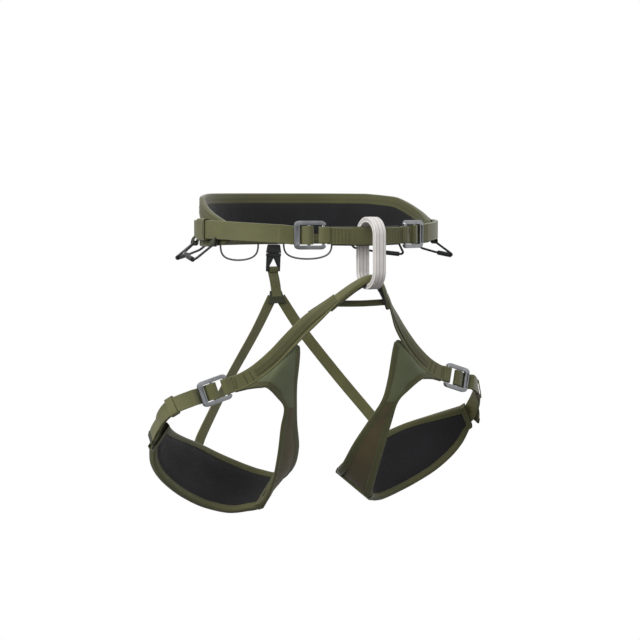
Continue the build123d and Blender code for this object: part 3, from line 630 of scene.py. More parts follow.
# ------------------------------------------------------------------ belt webbing
def belt_rows(start, end, count, out=0.0, dip=0.0):
    """Stations along the belt; dip pulls the webbing inwards where it enters a buckle."""
    rows = []
    done = 0.0
    for i in range(count):
        a = start + (end - start) * i / (count - 1)
        turn = abs((a + 180) % 360 - 180)
        inward = dip * max(0.0, 1 - (turn - FOLD_END) / 9) ** 2
        p = belt_point(a, out - inward, belt_z(a))
        if i:
            done += (p - rows[-1][0]).length
        rows.append((p, Vector((0, 0, 1)), belt_out(a), done))
    return rows


FOLD_END = 42.0       # where the fold of each buckle becomes belt
TAIL_END = 108.0
main_rows = belt_rows(FOLD_END, 360 - FOLD_END, 150, dip=0.4)
web = ribbon("belt_webbing", main_rows, web_profile(WEB_W, WEB_T, -WEB_T), OLIVE_WEB)
settle(web, "waist", ["waist_webbing"])

tail_rows = belt_rows(FOLD_END, TAIL_END, 60, dip=0.4)
tail = ribbon("belt_tail_left", tail_rows, web_profile(WEB_W, WEB_T, GAP), OLIVE_WEB)
both(tail, "waist", [])
end = Place(tail_rows[-2][0], belt_along(TAIL_END - 1), belt_out(TAIL_END - 1))
end_tack = dashes("belt_tail_tack_left", tack(end, -3.0, 2.35, 9.5) + tack(end, -6.0, 2.35, 9.5), BINDING)
both(end_tack, "waist", [])

bar_spot = belt_point(BUCKLE_ANGLE, 1.6, belt_z(BUCKLE_ANGLE + 6))
bar_far = belt_point(BUCKLE_ANGLE + 14, 1.6, belt_z(BUCKLE_ANGLE + 6))
way = (bar_far - bar_spot).normalized()
WAIST_PLACE = Place(bar_spot, way, Vector((way.y, -way.x, 0)))

TIE_END = BUCKLE_ANGLE - math.degrees(5.0 / WAIST_A)
tie_rows = belt_rows(-TIE_END, TIE_END, 45)
TIE_HIGH = 0.2 + 1.6 * WEB_T
tie = ribbon("tie_in_webbing_band", tie_rows, web_profile(WEB_W - 2, TIE_HIGH - 0.2, 0.2), OLIVE_WEB)
settle(tie, "waist", ["tie_in_webbing"])
guard_rows = belt_rows(-TIE_END + 2, TIE_END - 2, 41)
guard = ribbon("tie_in_guard_band", guard_rows, web_profile(WEB_W + 1, 1.7, -1.8), DARK_WEB)
settle(guard, "waist", ["tie_in_guard"])
# sleeve over the middle of the tie-in webbing
sleeve_rows = belt_rows(-8.2, 8.2, 25)
sleeve = ribbon("tie_in_sleeve", sleeve_rows, web_profile(WEB_W - 1, 0.9, TIE_HIGH - 0.1), OLIVE_WEB)
settle(sleeve, "waist", [])
spots = []
for s in (-1, 1):
    for a in (9.6, 11.2, 12.8, 14.4, 16.0, 17.4):
        turned = Place(belt_point(s * a, 0, belt_z(a)), belt_along(s * a), belt_out(s * a))
        spots += tack(turned, 0, TIE_HIGH + 0.02, 9.0, length=1.9)
    turned = Place(belt_point(s * 7.6, 0, belt_z(7.6)), belt_along(s * 7.6), belt_out(s * 7.6))
    spots += tack(turned, 0, TIE_HIGH + 0.85, 9.6, pitch=1.5, length=1.0)
settle(dashes("tie_in_bar_tacks", spots, BINDING, wide=0.4, high=0.22), "waist", [])


def path_rows(points, across, count, across_end=None):
    """Stations along points that keep one width direction."""
    rows = []
    done = 0.0
    for place, way, t in smooth_row(points, count):
        share = t / (len(points) - 1)
        side = Vector(across).lerp(Vector(across_end or across), share)
        side = (side - way * side.dot(way)).normalized()
        if rows:
            done += (place - rows[-1][0]).length
        rows.append((place, side, side.cross(way).normalized(), done))
    return rows


def bar_round(place, x, radius, start, stop, steps, slack=1.0):
    """Points round a bar in the buckle's frame; slack makes the turn longer than it is high."""
    pts = []
    for i in range(steps + 1):
        a = math.radians(start + (stop - start) * i / steps)
        pts.append(place.at(x + slack * radius * math.cos(a), 0, radius * math.sin(a)))
    return pts


def sewn_loop(name, place, width, thick, reach=7.5):
    """Webbing sewn round the first bar."""
    r = BAR_R + 0.3 + thick / 2
    pts = [place.at(-reach, 0, r * 0.55), place.at(-reach * 0.5, 0, r * 0.85)]
    pts += bar_round(place, 0, r, 90, -90, 8, 1.75)
    pts += [place.at(-reach * 0.5, 0, -r * 0.85), place.at(-reach, 0, -r * 0.55)]
    loop = ribbon(name, path_rows(pts, place.y, 44), web_profile(width, thick, -thick / 2), OLIVE_WEB)
    return loop


loop = sewn_loop("tie_in_loop_left", WAIST_PLACE, WEB_W - 2, 1.3)
both(loop, "waist", [])

MID = BUCKLE_L * 0.46     # middle bar, from the sewn bar


def fold_points(place, thick):
    """Webbing that comes in under the outer bar, turns round the middle bar and leaves again."""
    r = BAR_R + 0.25 + thick / 2
    low = -(2.0 + 0.25 + thick * 1.5 + 0.15)
    high = low + thick + 0.12
    pts = [place.at(37.5, 0, low), place.at(31, 0, low), place.at(24.5, 0, low + 0.6)]
    pts += bar_round(place, MID, r, -80, -280, 7, 1.5)
    pts += [place.at(24, 0, 0.9), place.at(29.5, 0, high + 0.35), place.at(33.5, 0, high)]
    return pts + [place.at(38, 0, high)]


far = [belt_rows(FOLD_END, FOLD_END + 8, 3, middle, dip=0.4) for middle in (-WEB_T / 2, GAP + WEB_T / 2)]
first = far[0][0][0]
second = far[1][0][0]
step = (far[0][1][0] - far[0][0][0]).normalized()
pts = [first, first - step * 5] + fold_points(WAIST_PLACE, 1.9) + [second - step * 5, second]
fold = ribbon("waist_fold_web_left", path_rows(pts, (0, 0, 1), 110),
              web_profile(WEB_W, WEB_T - 0.05, -WEB_T / 2), OLIVE_WEB)
right = mirror_copy(fold, "waist_fold_web_right")
for piece, side, s in ((fold, "left", 1), (right, "right", -1)):
    a = WAIST_PLACE.at(30) * MM
    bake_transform(piece)
    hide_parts("waist_fold_" + side)


# ------------------------------------------------------------------ aluminium buckles, drawn once and copied
def edit(piece):
    """Opens one mesh for editing with nothing selected."""
    bpy.ops.object.select_all(action="DESELECT")
    piece.select_set(True)
    bpy.context.view_layer.objects.active = piece
    bpy.ops.object.mode_set(mode="EDIT")
    bpy.ops.mesh.select_all(action="DESELECT")


def pick(piece, kind, test):
    """Selects faces or vertices by where they are, in millimetres."""
    bpy.ops.mesh.select_mode(type="VERT" if kind == "vertices" else "FACE")
    bpy.ops.mesh.select_all(action="DESELECT")
    b = bmesh.from_edit_mesh(piece.data)
    for item in (b.verts if kind == "vertices" else b.faces):
        c = (item.co if kind == "vertices" else item.calc_center_median()) / MM
        item.select_set(bool(test(c)))
    bmesh.update_edit_mesh(piece.data)


def soften(piece, width, steps=3, angle=35):
    """Rounds every sharp edge and applies it."""
    bpy.ops.object.mode_set(mode="OBJECT")
    m = piece.modifiers.new("round", "BEVEL")
    m.width = width * MM
    m.segments = steps
    m.limit_method = "ANGLE"
    m.angle_limit = math.radians(angle)
    bpy.context.view_layer.objects.active = piece
    bpy.ops.object.modifier_apply(modifier=m.name)


def bar(x, z, radius, length, material):
    """Round bar across a buckle."""
    bpy.ops.mesh.primitive_cylinder_add(vertices=28, radius=radius * MM, depth=length * MM,
                                        location=(x * MM, 0, z * MM), rotation=(math.pi / 2, 0, 0))
    piece = bpy.context.active_object
    bpy.ops.object.transform_apply(location=True, rotation=True, scale=True)
    piece.data.materials.append(material)
    return piece


def lay_grid(name, xs, ys, material):
    """Flat grid with its lines at the given places."""
    bpy.ops.mesh.primitive_grid_add(x_subdivisions=len(xs) - 1, y_subdivisions=len(ys) - 1, size=1)
    piece = bpy.context.active_object
    piece.name = name
    for v in piece.data.vertices:
        i = round((v.co.x + 0.5) * (len(xs) - 1))
        j = round((v.co.y + 0.5) * (len(ys) - 1))
        v.co = (xs[i] * MM, ys[j] * MM, 0)
    piece.data.materials.append(material)
    return piece


def raise_faces(height):
    bpy.ops.mesh.extrude_region_move(TRANSFORM_OT_translate={"value": (0, 0, height * MM)})


def put_in_place(piece, place):
    piece.data.transform(place.matrix())
    piece.data.update()
    piece.location = (0, 0, 0)
    finish_surface(piece, 38)


def buckle(name, width):
    """Forged frame: broad outer bar with a sunk recess, two rails, a middle bar and a sewn bar."""
    half = width / 2 + RAIL + 1.2
    inner = half - RAIL
    start, window_end, end = -3.2, 29.6, 36.4
    xs = [start, 3.0, 15.5, 20.5, window_end, end]
    piece = lay_grid(name, xs, [-half, -inner, inner, half], METAL)
    edit(piece)
    pick(piece, "faces", lambda c: abs(c.y) < inner and c.x < window_end - 0.5)
    bpy.ops.mesh.delete(type="FACE")
    pick(piece, "vertices", lambda c: abs(c.y) > half - 0.1 and (c.x > end - 0.4 or c.x < start + 0.2))
    bpy.ops.mesh.bevel(offset=7.2 * MM, segments=9, affect="VERTICES")
    bpy.ops.mesh.select_mode(type="FACE")
    bpy.ops.mesh.select_all(action="SELECT")
    raise_faces(4.0)
    bpy.ops.mesh.select_all(action="DESELECT")
    pick(piece, "faces", lambda c: c.x > window_end and abs(c.y) < inner * 0.8 and c.z > 3.9)
    bpy.ops.mesh.inset(thickness=1.5 * MM)
    raise_faces(-1.7)
    bpy.ops.mesh.normals_make_consistent(inside=False)
    soften(piece, 0.95)
    for v in piece.data.vertices:
        c = v.co / MM
        side = abs(c.y) / half
        v.co.z = (c.z - 2.0 + 0.9 * (1 - side ** 2) * (c.x > 25) * (c.z > 1.9)) * MM
    bars = [bar(0, 0, BAR_R, 2 * inner + 2.5, METAL), bar(MID, 0, BAR_R, 2 * inner + 2.5, METAL)]
    return join(name, [piece] + bars)


frame_piece = buckle("waist_buckle_frame_left", WEB_W)
put_in_place(frame_piece, WAIST_PLACE)
both(frame_piece, "waist_buckle_left", ["waist_buckle_left"])


# ------------------------------------------------------------------ keepers
def keeper(name, place, width, low, high, length, wall, material):
    """Band of webbing round the strap and its tail."""
    rows = []
    half_w, mid, half_h = width / 2 + 1.0, (low + high) / 2, (high - low) / 2 + 1.0
    corners = []
    r = 1.4
    for sy, sz, start in ((1, 1, 0), (-1, 1, 90), (-1, -1, 180), (1, -1, 270)):
        cy, cz = sy * (half_w - r), sz * (half_h - r)
        for k in range(5):
            a = math.radians(start + 22.5 * k)
            corners.append((cy + r * math.cos(a), cz + r * math.sin(a), a))
        if start in (0, 180):
            sign = 1 if start == 0 else -1
            for k in range(1, 10):
                y = sign * (half_w - r) * (1 - k / 5)
                corners.append((y, sign * half_h, math.radians(90 if start == 0 else 270)))
    run = 0.0
    for i, (y, z, a) in enumerate(corners):
        spot = place.at(0, y, mid + z)
        outward = place.y * math.cos(a) + place.z * math.sin(a)
        if i:
            run += (spot - rows[-1][0]).length
        rows.append((spot, place.x, outward, run))
    piece = ribbon(name, rows, web_profile(length, wall, 0, edge=0.35, steps=6), material, closed=True)
    return piece


KEEP_AT = 91.0
keep_place = Place(belt_point(KEEP_AT, 0, belt_z(KEEP_AT)), belt_along(KEEP_AT), belt_out(KEEP_AT))
band = keeper("waist_keeper_band_left", keep_place, WEB_W, -WEB_T, GAP + WEB_T, 20.0, 1.25, OLIVE_WEB)
lap_spots = tack(keep_place, -7.6, GAP + WEB_T + 1.0 + 1.3, 9.5, length=1.6)
lap = dashes("waist_keeper_tack_left", lap_spots, DARK_WEB)
both(band, "waist_keeper_left", ["waist_keeper_left"])
both(lap, "waist_keeper_left", [])


# ------------------------------------------------------------------ belay loop
def racetrack(tall, deep, count):
    """Closed line in the YZ plane, as (place, out)."""
    r = deep / 2
    straight = tall - deep
    total = 2 * straight + 2 * math.pi * r
    row = []
    for i in range(count):
        s = total * i / count
        if s < straight:
            p, o = (-r, -straight / 2 + s), (-1, 0)
        elif s < straight + math.pi * r:
            a = math.pi - (s - straight) / r
            p, o = (r * math.cos(a), straight / 2 + r * math.sin(a)), (math.cos(a), math.sin(a))
        elif s < 2 * straight + math.pi * r:
            p, o = (r, straight / 2 - (s - straight - math.pi * r)), (1, 0)
        else:
            a = -(s - 2 * straight - math.pi * r) / r
            p, o = (r * math.cos(a), -straight / 2 + r * math.sin(a)), (math.cos(a), math.sin(a))
        place = Vector((0, BELAY_Y + p[0], BELAY_TOP - BELAY_TALL / 2 + p[1]))
        row.append((place, Vector((1, 0, 0)), Vector((0, o[0], o[1])), s))
    return row


def belay_ring(i, s):
    """Three layers of webbing with soft edges."""
    half = BELAY_W / 2
    ring = []
    for n in range(9):
        ring.append((-half + 0.8 + (BELAY_W - 1.6) * n / 8, BELAY_T / 2 + 0.15 * math.sin(math.pi * n / 8)))
    for layer in range(3):
        top = BELAY_T / 2 - layer * BELAY_T / 3
        ring += [(half - 0.25, top - 0.25), (half, top - BELAY_T / 6)]
        ring.append((half - 0.25, top - BELAY_T / 3 + 0.25))
        if layer < 2:
            ring.append((half - 0.75, top - BELAY_T / 3))
    return ring + [(-v, -h) for v, h in ring]


belay = ribbon("belay_loop_webbing", racetrack(BELAY_TALL - BELAY_T, BELAY_DEEP - BELAY_T, 132), belay_ring,
               BELAY, closed=True, smooth=50)
settle(belay, "belay_loop", ["belay_loop"])
spots = []
back = Place((0, BELAY_Y + BELAY_DEEP / 2, BELAY_TOP - BELAY_TALL / 2), (0, 0, 1), (0, 1, 0))
for z in (-16, -12.5, -9, 9, 12.5, 16):
    spots += tack(back, z, 0.12, 6.8, length=2.2)
settle(dashes("belay_loop_bar_tacks", spots, BELAY, high=0.45), "belay_loop", [])


# ------------------------------------------------------------------ leg loops
PAD_EDGES = [
    ((92, -4, -237), (110, 4, -267)), ((66, 31, -251), (104, 13, -288)), ((39, 55, -263), (90, 19, -307)),
    ((11, 64, -275), (67, 25, -326)), ((-11, 65, -286), (42, 32, -341)), ((-32, 61, -296), (18, 36, -352)),
    ((-52, 55, -305), (-12, 32, -360)), ((-70, 46, -312), (-32, 23, -358)), ((-86, 27, -315), (-47, 7, -350)),
]
INNER_EDGES = [
    ((-92, 3, -303), (-52, -15, -318)), ((-88, -18, -275), (-51, -32, -281)),
    ((-75, -37, -242), (-48, -46, -245)), ((-66, -52, -217), (-46, -58, -219)),
]
FRONT_EDGES = [
    ((-62, -60, -190), (-33, -63, -204)), ((-59, -72, -140), (-17, -67, -191)),
    ((-42, -66, -144), (-8, -66, -190)), ((-18, -57, -165), (6, -62, -191)),
    ((18, -51, -184), (22, -55, -195)),
]
EDGES = PAD_EDGES + INNER_EDGES + FRONT_EDGES
FINE = 8


def leg_rows():
    """Stations of the leg band: upper edge, across, outward, length, width, half thickness."""
    last = (len(EDGES) - 1) * FINE
    ups = [r[0] for r in smooth_row([leg_point(*u) for u, l in EDGES], last + 1)]
    lows = [r[0] for r in smooth_row([leg_point(*l) for u, l in EDGES], last + 1)]
    rows = []
    for i in range(last + 1):
        a, b = max(i - 1, 0), min(i + 1, last)
        along = (ups[b] + lows[b]) - (ups[a] + lows[a])
        across = (lows[i] - ups[i]).normalized()
        out = along.cross(across).normalized()
        middle = (ups[i] + lows[i]) / 2
        if out.dot(Vector((middle.x - LEG_X, middle.y - LEG_Y, -20))) < 0:
            out = -out
        t = i / FINE
        half = PAD_HALF if t <= 8 else PAD_HALF + (PANEL_HALF - PAD_HALF) * min(1.0, t - 8)
        length = rows[-1][3] + (middle - rows[-1][6]).length if rows else 0.0
        rows.append((ups[i], across, out, length, (lows[i] - ups[i]).length, half, middle))
    return rows


LEG = leg_rows()


def leg_part(start, stop):
    return [r[:4] for r in LEG[start * FINE:stop * FINE + 1]], LEG[start * FINE:stop * FINE + 1]


def band_ring(full, face, puff, amount, base=None):
    """Section of one layer of the leg band. face is +1 outside and -1 towards the thigh."""
    def ring(i, s):
        up, across, out, length, width, half, middle = full[i]
        h = half if base is None else base
        points = []
        count = 12
        room = min(1.0, max(0.0, (width - 2 * LEG_TAPE) / 16))
        for k in range(count + 1):
            v = 0.6 + (width - 1.2) * k / count
            depth = min(v - LEG_TAPE + 1.0, width - LEG_TAPE + 1.0 - v) / 4.5
            rise = max(0.0, min(1.0, depth)) ** 0.6 * room * (puff + wrinkle(up + across * v, 20, amount))
            points.append((v, face * (h + rise)))
        return points + [(width - 0.6, face * 0.1), (0.6, face * 0.1)]
    return ring


rows, full = leg_part(0, 8)
piece = ribbon("leg_lining_pad_left", rows, band_ring(full, -1, 1.3, 0.5), LINING, smooth=55)
pads = both(piece, "leg_loops", ["leg_lining_left", "leg_foam_left"])
piece = ribbon("leg_shell_pad_left", rows, band_ring(full, 1, 1.3, 0.5), SHELL, smooth=55)
pads += both(piece, "leg_loops", ["leg_shell_left"])


def sheet_ring(full, puff, amount):
    """Section of a thin panel, slightly crowned outwards."""
    def ring(i, s):
        up, across, out, length, width, half, middle = full[i]
        top, bottom = [], []
        count = 10
        for k in range(count + 1):
            v = 0.6 + (width - 1.2) * k / count
            rise = math.sin(math.pi * k / count) * (puff + wrinkle(up + across * v, 24, amount))
            top.append((v, min(half, 1.0) + rise))
            bottom.append((v, -min(half, 1.0) + rise))
        return top + bottom[::-1]
    return ring


rows, full = leg_part(8, 12)
piece = ribbon("leg_inner_twill_left", rows, sheet_ring(full, 1.2, 0.8), TWILL, smooth=55)
both(piece, "leg_loops", ["leg_inner_panel_left"])
rows, full = leg_part(12, 17)
piece = ribbon("leg_front_laminate_left", rows, sheet_ring(full, 1.6, 0.6), LAMINATE, smooth=55)
both(piece, "leg_loops", ["leg_front_panel_left"])


def tape_leg(i, width):
    """Width of the binding's leg: the two bindings meet where the band is narrowest."""
    t = i / FINE
    wide = LEG_TAPE + 4.5 * math.exp(-((t - 12.0) / 0.85) ** 2)
    return min(width * 0.5, wide, LEG_TAPE + 99 * max(0.0, 16.5 - t))


def leg_tape(full, lower):
    """Binding section folded over the upper or the lower edge."""
    def ring(i, s):
        up, across, out, length, width, half, middle = full[i]
        leg = tape_leg(i, width)
        ring = u_tape(half + 0.15, 0.85, leg)
        return [(width - v, n) for v, n in ring[::-1]] if lower else ring
    return ring


for label, lower, stop in (("upper", False, 14), ("lower", True, 17)):
    rows, full = leg_part(0, stop)
    piece = ribbon("leg_" + label + "_binding_left", rows, leg_tape(full, lower), BINDING)
    both(piece, "leg_loops", ["leg_" + label + "_tape_left"])

spots = []
for lower, stop in ((False, 14), (True, 17)):
    part = LEG[2:stop * FINE - 1]
    for face in (-1, 1):
        pts = []
        for i, (up, across, out, length, width, half, middle) in enumerate(part, 2):
            leg = tape_leg(i, width) - 1.3
            pts.append(up + across * (width - leg if lower else leg) + out * face * (half + 1.02))
        spots += seam(pts, [r[2] * face for r in part])
both(dashes("leg_binding_stitches_left", spots, BINDING), "leg_loops", [])


def cross_tape(name, at, wide, lift):
    """Binding across the band at one station, over both faces and both edges."""
    up, across, out, length, width, half, middle = LEG[at]
    after = LEG[min(at + 2, len(LEG) - 1)]
    before = LEG[max(at - 2, 0)]
    along = (after[6] - before[6]).normalized()
    t = half + lift
    rows = []
    run = 0.0
    path = []
    for k in range(13):
        path.append((-0.4 + (width + 0.8) * k / 12, t, out))
    path.append((width + 0.9, 0, across))
    for k in range(13):
        path.append((width + 0.4 - (width + 0.8) * k / 12, -t, -out))
    path.append((-0.9, 0, -across))
    for v, n, face in path:
        spot = up + across * v + out * n
        if rows:
            run += (spot - rows[-1][0]).length
        rows.append((spot, along, face, run))
    return ribbon(name, rows, web_profile(wide, 0.7, 0, edge=0.3, steps=4), BINDING, closed=True)


for name, at, wide in (("leg_end_binding_left", 0, 7.5), ("leg_cross_binding_left", 8 * FINE - 1, 8.0)):
    both(cross_tape(name, at, wide, 0.95), "leg_loops", [])


# ------------------------------------------------------------------ tie-in arch
ARCH_HALF = [(0, BELAY_Y, ARCH_Z), (12, BELAY_Y + 3, ARCH_Z - 4), (24, BELAY_Y + 11, ARCH_Z - 14),
             (36.5, BELAY_Y + 22, ARCH_Z - 27.5), (45, -103.5, -90)]
ARCH_HALF_UP = [(0, 0, 1), (0.25, -0.12, 0.95), (0.55, -0.4, 0.75), (0.55, -0.62, 0.55), (0.5, -0.7, 0.5)]
ARCH = [(-x, y, z) for x, y, z in ARCH_HALF[:0:-1]] + ARCH_HALF
ARCH_UP = [(-x, y, z) for x, y, z in ARCH_HALF_UP[:0:-1]] + ARCH_HALF_UP
arch_rows = strap_row(ARCH, ARCH_UP, 73)


def arch_size(i):
    """Half width, top and bottom of the rolled webbing at a station."""
    end = abs(i - 36) / 36
    soft = end * end * (3 - 2 * end)
    return 6.4 + 1.1 * soft, 3.0 - 0.4 * soft, -5.4 + 2.0 * soft


def arch_cover(i, s):
    """Webbing rolled over the arch: full in the middle, thinning into the front straps."""
    wide, top, low = arch_size(i)
    ring = []
    for k in range(17):
        a = math.radians(-12 + 204 * k / 16)
        c, n = math.cos(a), math.sin(a)
        rise = (top - low) * n ** 0.7 if n > 0 else 0.4
        ring.append((wide * math.copysign(abs(c) ** 0.75, c), low + rise))
    return ring[::-1]


def arch_inside(i, s):
    """Dark wear strip along the inner bend of the arch."""
    wide, low = arch_size(i)[0], arch_size(i)[2]
    end = abs(i - 36) / 36
    deep = 3.2 - 1.6 * end
    right = [(wide - 2, low - deep), (wide - 0.5, low - deep * 0.5), (wide - 0.2, low + 1.2),
             (wide - 2, low + 1.8)]
    left = [(-v, h) for v, h in right]
    return [left[2], left[1], left[0]] + right + [left[3]]


arch = ribbon("tie_in_arch_webbing", arch_rows, arch_inside, BLACK_WEB, smooth=60)
settle(arch, "leg_loops", ["tie_in_arch"])
cover = ribbon("arch_guard_webbing", arch_rows, arch_cover, OLIVE_WEB, smooth=60)
settle(cover, "leg_loops", ["arch_guard"])

# ------------------------------------------------------------------ leg buckles and front straps
leg_bar = leg_point(34, -54, -187.5)
leg_way = (leg_point(68, -50, -198) - leg_bar).normalized()
leg_side = leg_way.cross(Vector((0.18, -0.97, 0.1))).normalized()
LEG_PLACE = Place(leg_bar, leg_way, leg_side.cross(leg_way))
out_leg = LEG_PLACE.z

frame_piece = buckle("leg_buckle_frame_left", STRAP_W)
put_in_place(frame_piece, LEG_PLACE)
both(frame_piece, "leg_buckle_left", ["leg_buckle_left"])

FRONT = [Vector((ARCH_END_X + 3.5, BELAY_Y + 22, ARCH_Z - 27.5)), leg_point(-79, -93, -96),
         leg_point(-64, -81, -112), leg_point(-46, -72, -132), leg_point(-27, -66.5, -152),
         leg_point(-4, -61, -171), leg_point(16, -57, -182),
         LEG_PLACE.at(-6.5, 0, -STRAP_T / 2)]
FRONT_OUT = [(0.5, -0.7, 0.5), (0.4, -0.8, 0.4), (0.3, -0.88, 0.3), (0.25, -0.93, 0.2), (0.2, -0.96, 0.15),
             (0.18, -0.97, 0.1), (0.18, -0.97, 0.1), tuple(out_leg)]
front_rows = strap_row(FRONT, FRONT_OUT, 96)


def front_width(i):
    """The front strap starts narrow under the arch and widens."""
    share = min(1.0, i / 26)
    return 14.0 + (STRAP_W - 14.0) * share * share * (3 - 2 * share)


def front_ring(i, s):
    """Flat strap with a rolled lower edge."""
    w = front_width(i) / 2
    ring = [(-w, 0.9), (-w + 0.3, 1.7)]
    for k in range(9):
        v = -w + 0.9 + (2 * w - 3.4) * k / 8
        ring.append((v, 1.9))
    for k in range(7):
        a = math.radians(165 - 33 * k)
        ring.append((w - 1.35 + 1.45 * math.cos(a), 1.35 + 1.45 * math.sin(a)))
    return ring + [(w - 3.2, 0.0), (0, 0.0), (-w + 0.5, 0.0)]


strap = ribbon("front_strap_webbing_left", front_rows, front_ring, OLIVE_WEB, smooth=50)
both(strap, "leg_loops", ["front_strap_left"])


def ridge_ring(i, s):
    """Narrow folded webbing sewn along the strap, tapering out at its lower end."""
    fade = min(1.0, (70 - i) / 10)
    w = 4.6
    ring = []
    for k in range(9):
        v = -w + 2 * w * k / 8
        ring.append((v, 1.9 + (1.5 - 0.35 * (v / w) ** 4) * max(0.12, fade)))
    return ring + [(w + 0.25, 1.9 + 0.5 * fade), (w, 1.7), (-w, 1.7), (-w - 0.25, 1.9 + 0.5 * fade)]


ridge = ribbon("front_ridge_webbing_left", front_rows[:70], ridge_ring, BINDING, smooth=50)
both(ridge, "leg_loops", [])
loop = sewn_loop("leg_sewn_loop_left", LEG_PLACE, STRAP_W, 1.3, reach=8.0)
both(loop, "leg_loops", [])
spots = []
for i in (72, 77, 88):
    place, across, out, done = front_rows[i]
    spots += tack(Place(place, across.cross(out) * -1, out), 0, 1.95, front_width(i) / 2 - 2.6, length=1.9)
both(dashes("front_bar_tacks_left", spots, BINDING, high=0.3), "leg_loops", [])

# the dark wear strip runs on a little way along the inner edge of the front strap
inner_rows = []
for k, (place, across, out, done) in enumerate(front_rows[:22]):
    inner_rows.append((place - across * (front_width(k) / 2 - 2.2) - out * 0.6, across, out, done))
inner = ribbon("arch_wear_strip_left", inner_rows, web_profile(6.5, 1.5, -0.8, edge=0.4, steps=4), BLACK_WEB)
both(inner, "leg_loops", [])

# ------------------------------------------------------------------ bridge strap
bridge_z = ARCH_Z - 33.0
half = [(0, -110.2, bridge_z - 1.2), (22, -109.9, bridge_z - 0.8), (36, -108.6, bridge_z - 0.6),
        (42, -105.5, bridge_z - 3)]
pts = [(-x, y, z) for x, y, z in half[:0:-1]] + half
bridge = ribbon("bridge_strap_elastic", path_rows(pts, (0, 0, 1), 41),
                web_profile(8.0, 1.6, -0.8, edge=0.4, steps=5), BINDING)
settle(bridge, "leg_loops", ["bridge_strap"])

# ------------------------------------------------------------------ adjusting straps of the leg loops
end_outward, end_middle = LEG[0][2], LEG[0][6]
end_along = (LEG[3][0] - LEG[0][0]).normalized()
band_normal = tuple(end_outward)
ADJUST = [LEG_PLACE.at(37.6, 0, -1.2), LEG_PLACE.at(49.6, 0.5, -2.2), leg_point(97, -30, -212),
          leg_point(104, -17, -225), leg_point(105, -8, -238), end_middle - end_along * 1.6,
          end_middle + end_along * 5]
ADJUST_OUT = [tuple(out_leg), (0.4, -0.9, 0.15), (0.85, -0.5, 0.15), (0.97, -0.15, 0.15), (0.95, 0.15, 0.25),
              band_normal, band_normal]
adjust_rows = strap_row(ADJUST, ADJUST_OUT, 86)
SEAM = 12
flat_strap = web_profile(STRAP_W, STRAP_T, -STRAP_T / 2)
lower = ribbon("leg_adjust_webbing_left", adjust_rows[SEAM:], flat_strap, OLIVE_WEB)
both(lower, "leg_loops", ["leg_adjust_strap_left"])
tail_low = STRAP_T / 2 + GAP
tail_rows = []
run = 0.0
for place, across, out, done in adjust_rows[SEAM:54]:
    tail_rows.append((place, across, out, done))
last, across, out, done = tail_rows[-1]
along = (last - tail_rows[-2][0]).normalized()
for k in range(1, 15):
    fall = 24.0 * k / 14
    lift = 6.0 * (1 - (1 - k / 14) ** 2)
    spot = last + along * fall * 0.6 + Vector((0, 0, -1)) * fall * 0.4 + out * lift
    tail_rows.append((spot, across, out, done + fall))
tail = ribbon("leg_tail_webbing_left", tail_rows, web_profile(STRAP_W, STRAP_T, tail_low), OLIVE_WEB)
both(tail, "leg_loops", [])
hem = ribbon("leg_tail_hem_left", tail_rows[-5:],
             web_profile(STRAP_W + 0.6, STRAP_T + 1.6, tail_low - 0.8), DARK_WEB)
both(hem, "leg_loops", [])

one = adjust_rows[SEAM]
two = adjust_rows[SEAM + 1]
step = (two[0] - one[0]).normalized()
pts = [one[0], one[0] - step * 4] + fold_points(LEG_PLACE, 1.7)
pts += [one[0] + one[2] * (tail_low + STRAP_T / 2) - step * 4, one[0] + one[2] * (tail_low + STRAP_T / 2)]
rows = path_rows(pts, one[1], 110)
fixed = []
past_frame = 36
reach = LEG_PLACE.x.dot(one[0] - LEG_PLACE.o)
same_way = 1 if one[1].dot(LEG_PLACE.y) > 0 else -1
for place, side, out, done in rows:
    near = (LEG_PLACE.x.dot(place - LEG_PLACE.o) - past_frame) / max(1.0, reach - past_frame)
    near = min(1.0, max(0.0, near))
    want = (LEG_PLACE.y * (1 - near) + one[1] * near * same_way).normalized()
    way = out.cross(side).normalized()
    want = (want - way * want.dot(way)).normalized()
    fixed.append((place, want, want.cross(way).normalized(), done))
fold = ribbon("leg_fold_web_left", fixed, web_profile(STRAP_W, STRAP_T - 0.05, -STRAP_T / 2), OLIVE_WEB)
right = mirror_copy(fold, "leg_fold_web_right")
for piece, side, s in ((fold, "left", 1), (right, "right", -1)):
    a = LEG_PLACE.at(30) * MM
    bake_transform(piece)
    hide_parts("leg_fold_" + side)

k = round(7 / 18 * 5 / 6 * 85)
place, across, out, done = adjust_rows[k]
keep_leg = Place(place, out.cross(across) * -1, out)
band = keeper("leg_keeper_band_left", keep_leg, STRAP_W, -STRAP_T / 2, tail_low + STRAP_T, 11.0, 1.2,
              OLIVE_WEB)
both(band, "leg_keeper_left", ["leg_keeper_left"])

# ------------------------------------------------------------------ rear clip
PIVOT = Vector((0, BELAY_Y, ARCH_Z))
BASE = 6.0
mouth = Vector((0, 119.0, BASE - 22.0 - 1.0 - 11.0 - 0.5))
radial = mouth + Vector((0, 0, -4.5)) - PIVOT
clip_up = Vector((0, -radial.z, radial.y)).normalized()
CLIP = Place(mouth, Vector((1, 0, 0)), clip_up)


def block(name, size, middle, material):
    """Plain block in the clip's frame, sizes in millimetres."""
    bpy.ops.mesh.primitive_cube_add(size=1)
    piece = bpy.context.active_object
    piece.name = name
    piece.data.transform(Matrix.LocRotScale(Vector(middle) * MM, None, Vector(size) * MM))
    piece.data.materials.append(material)
    return piece


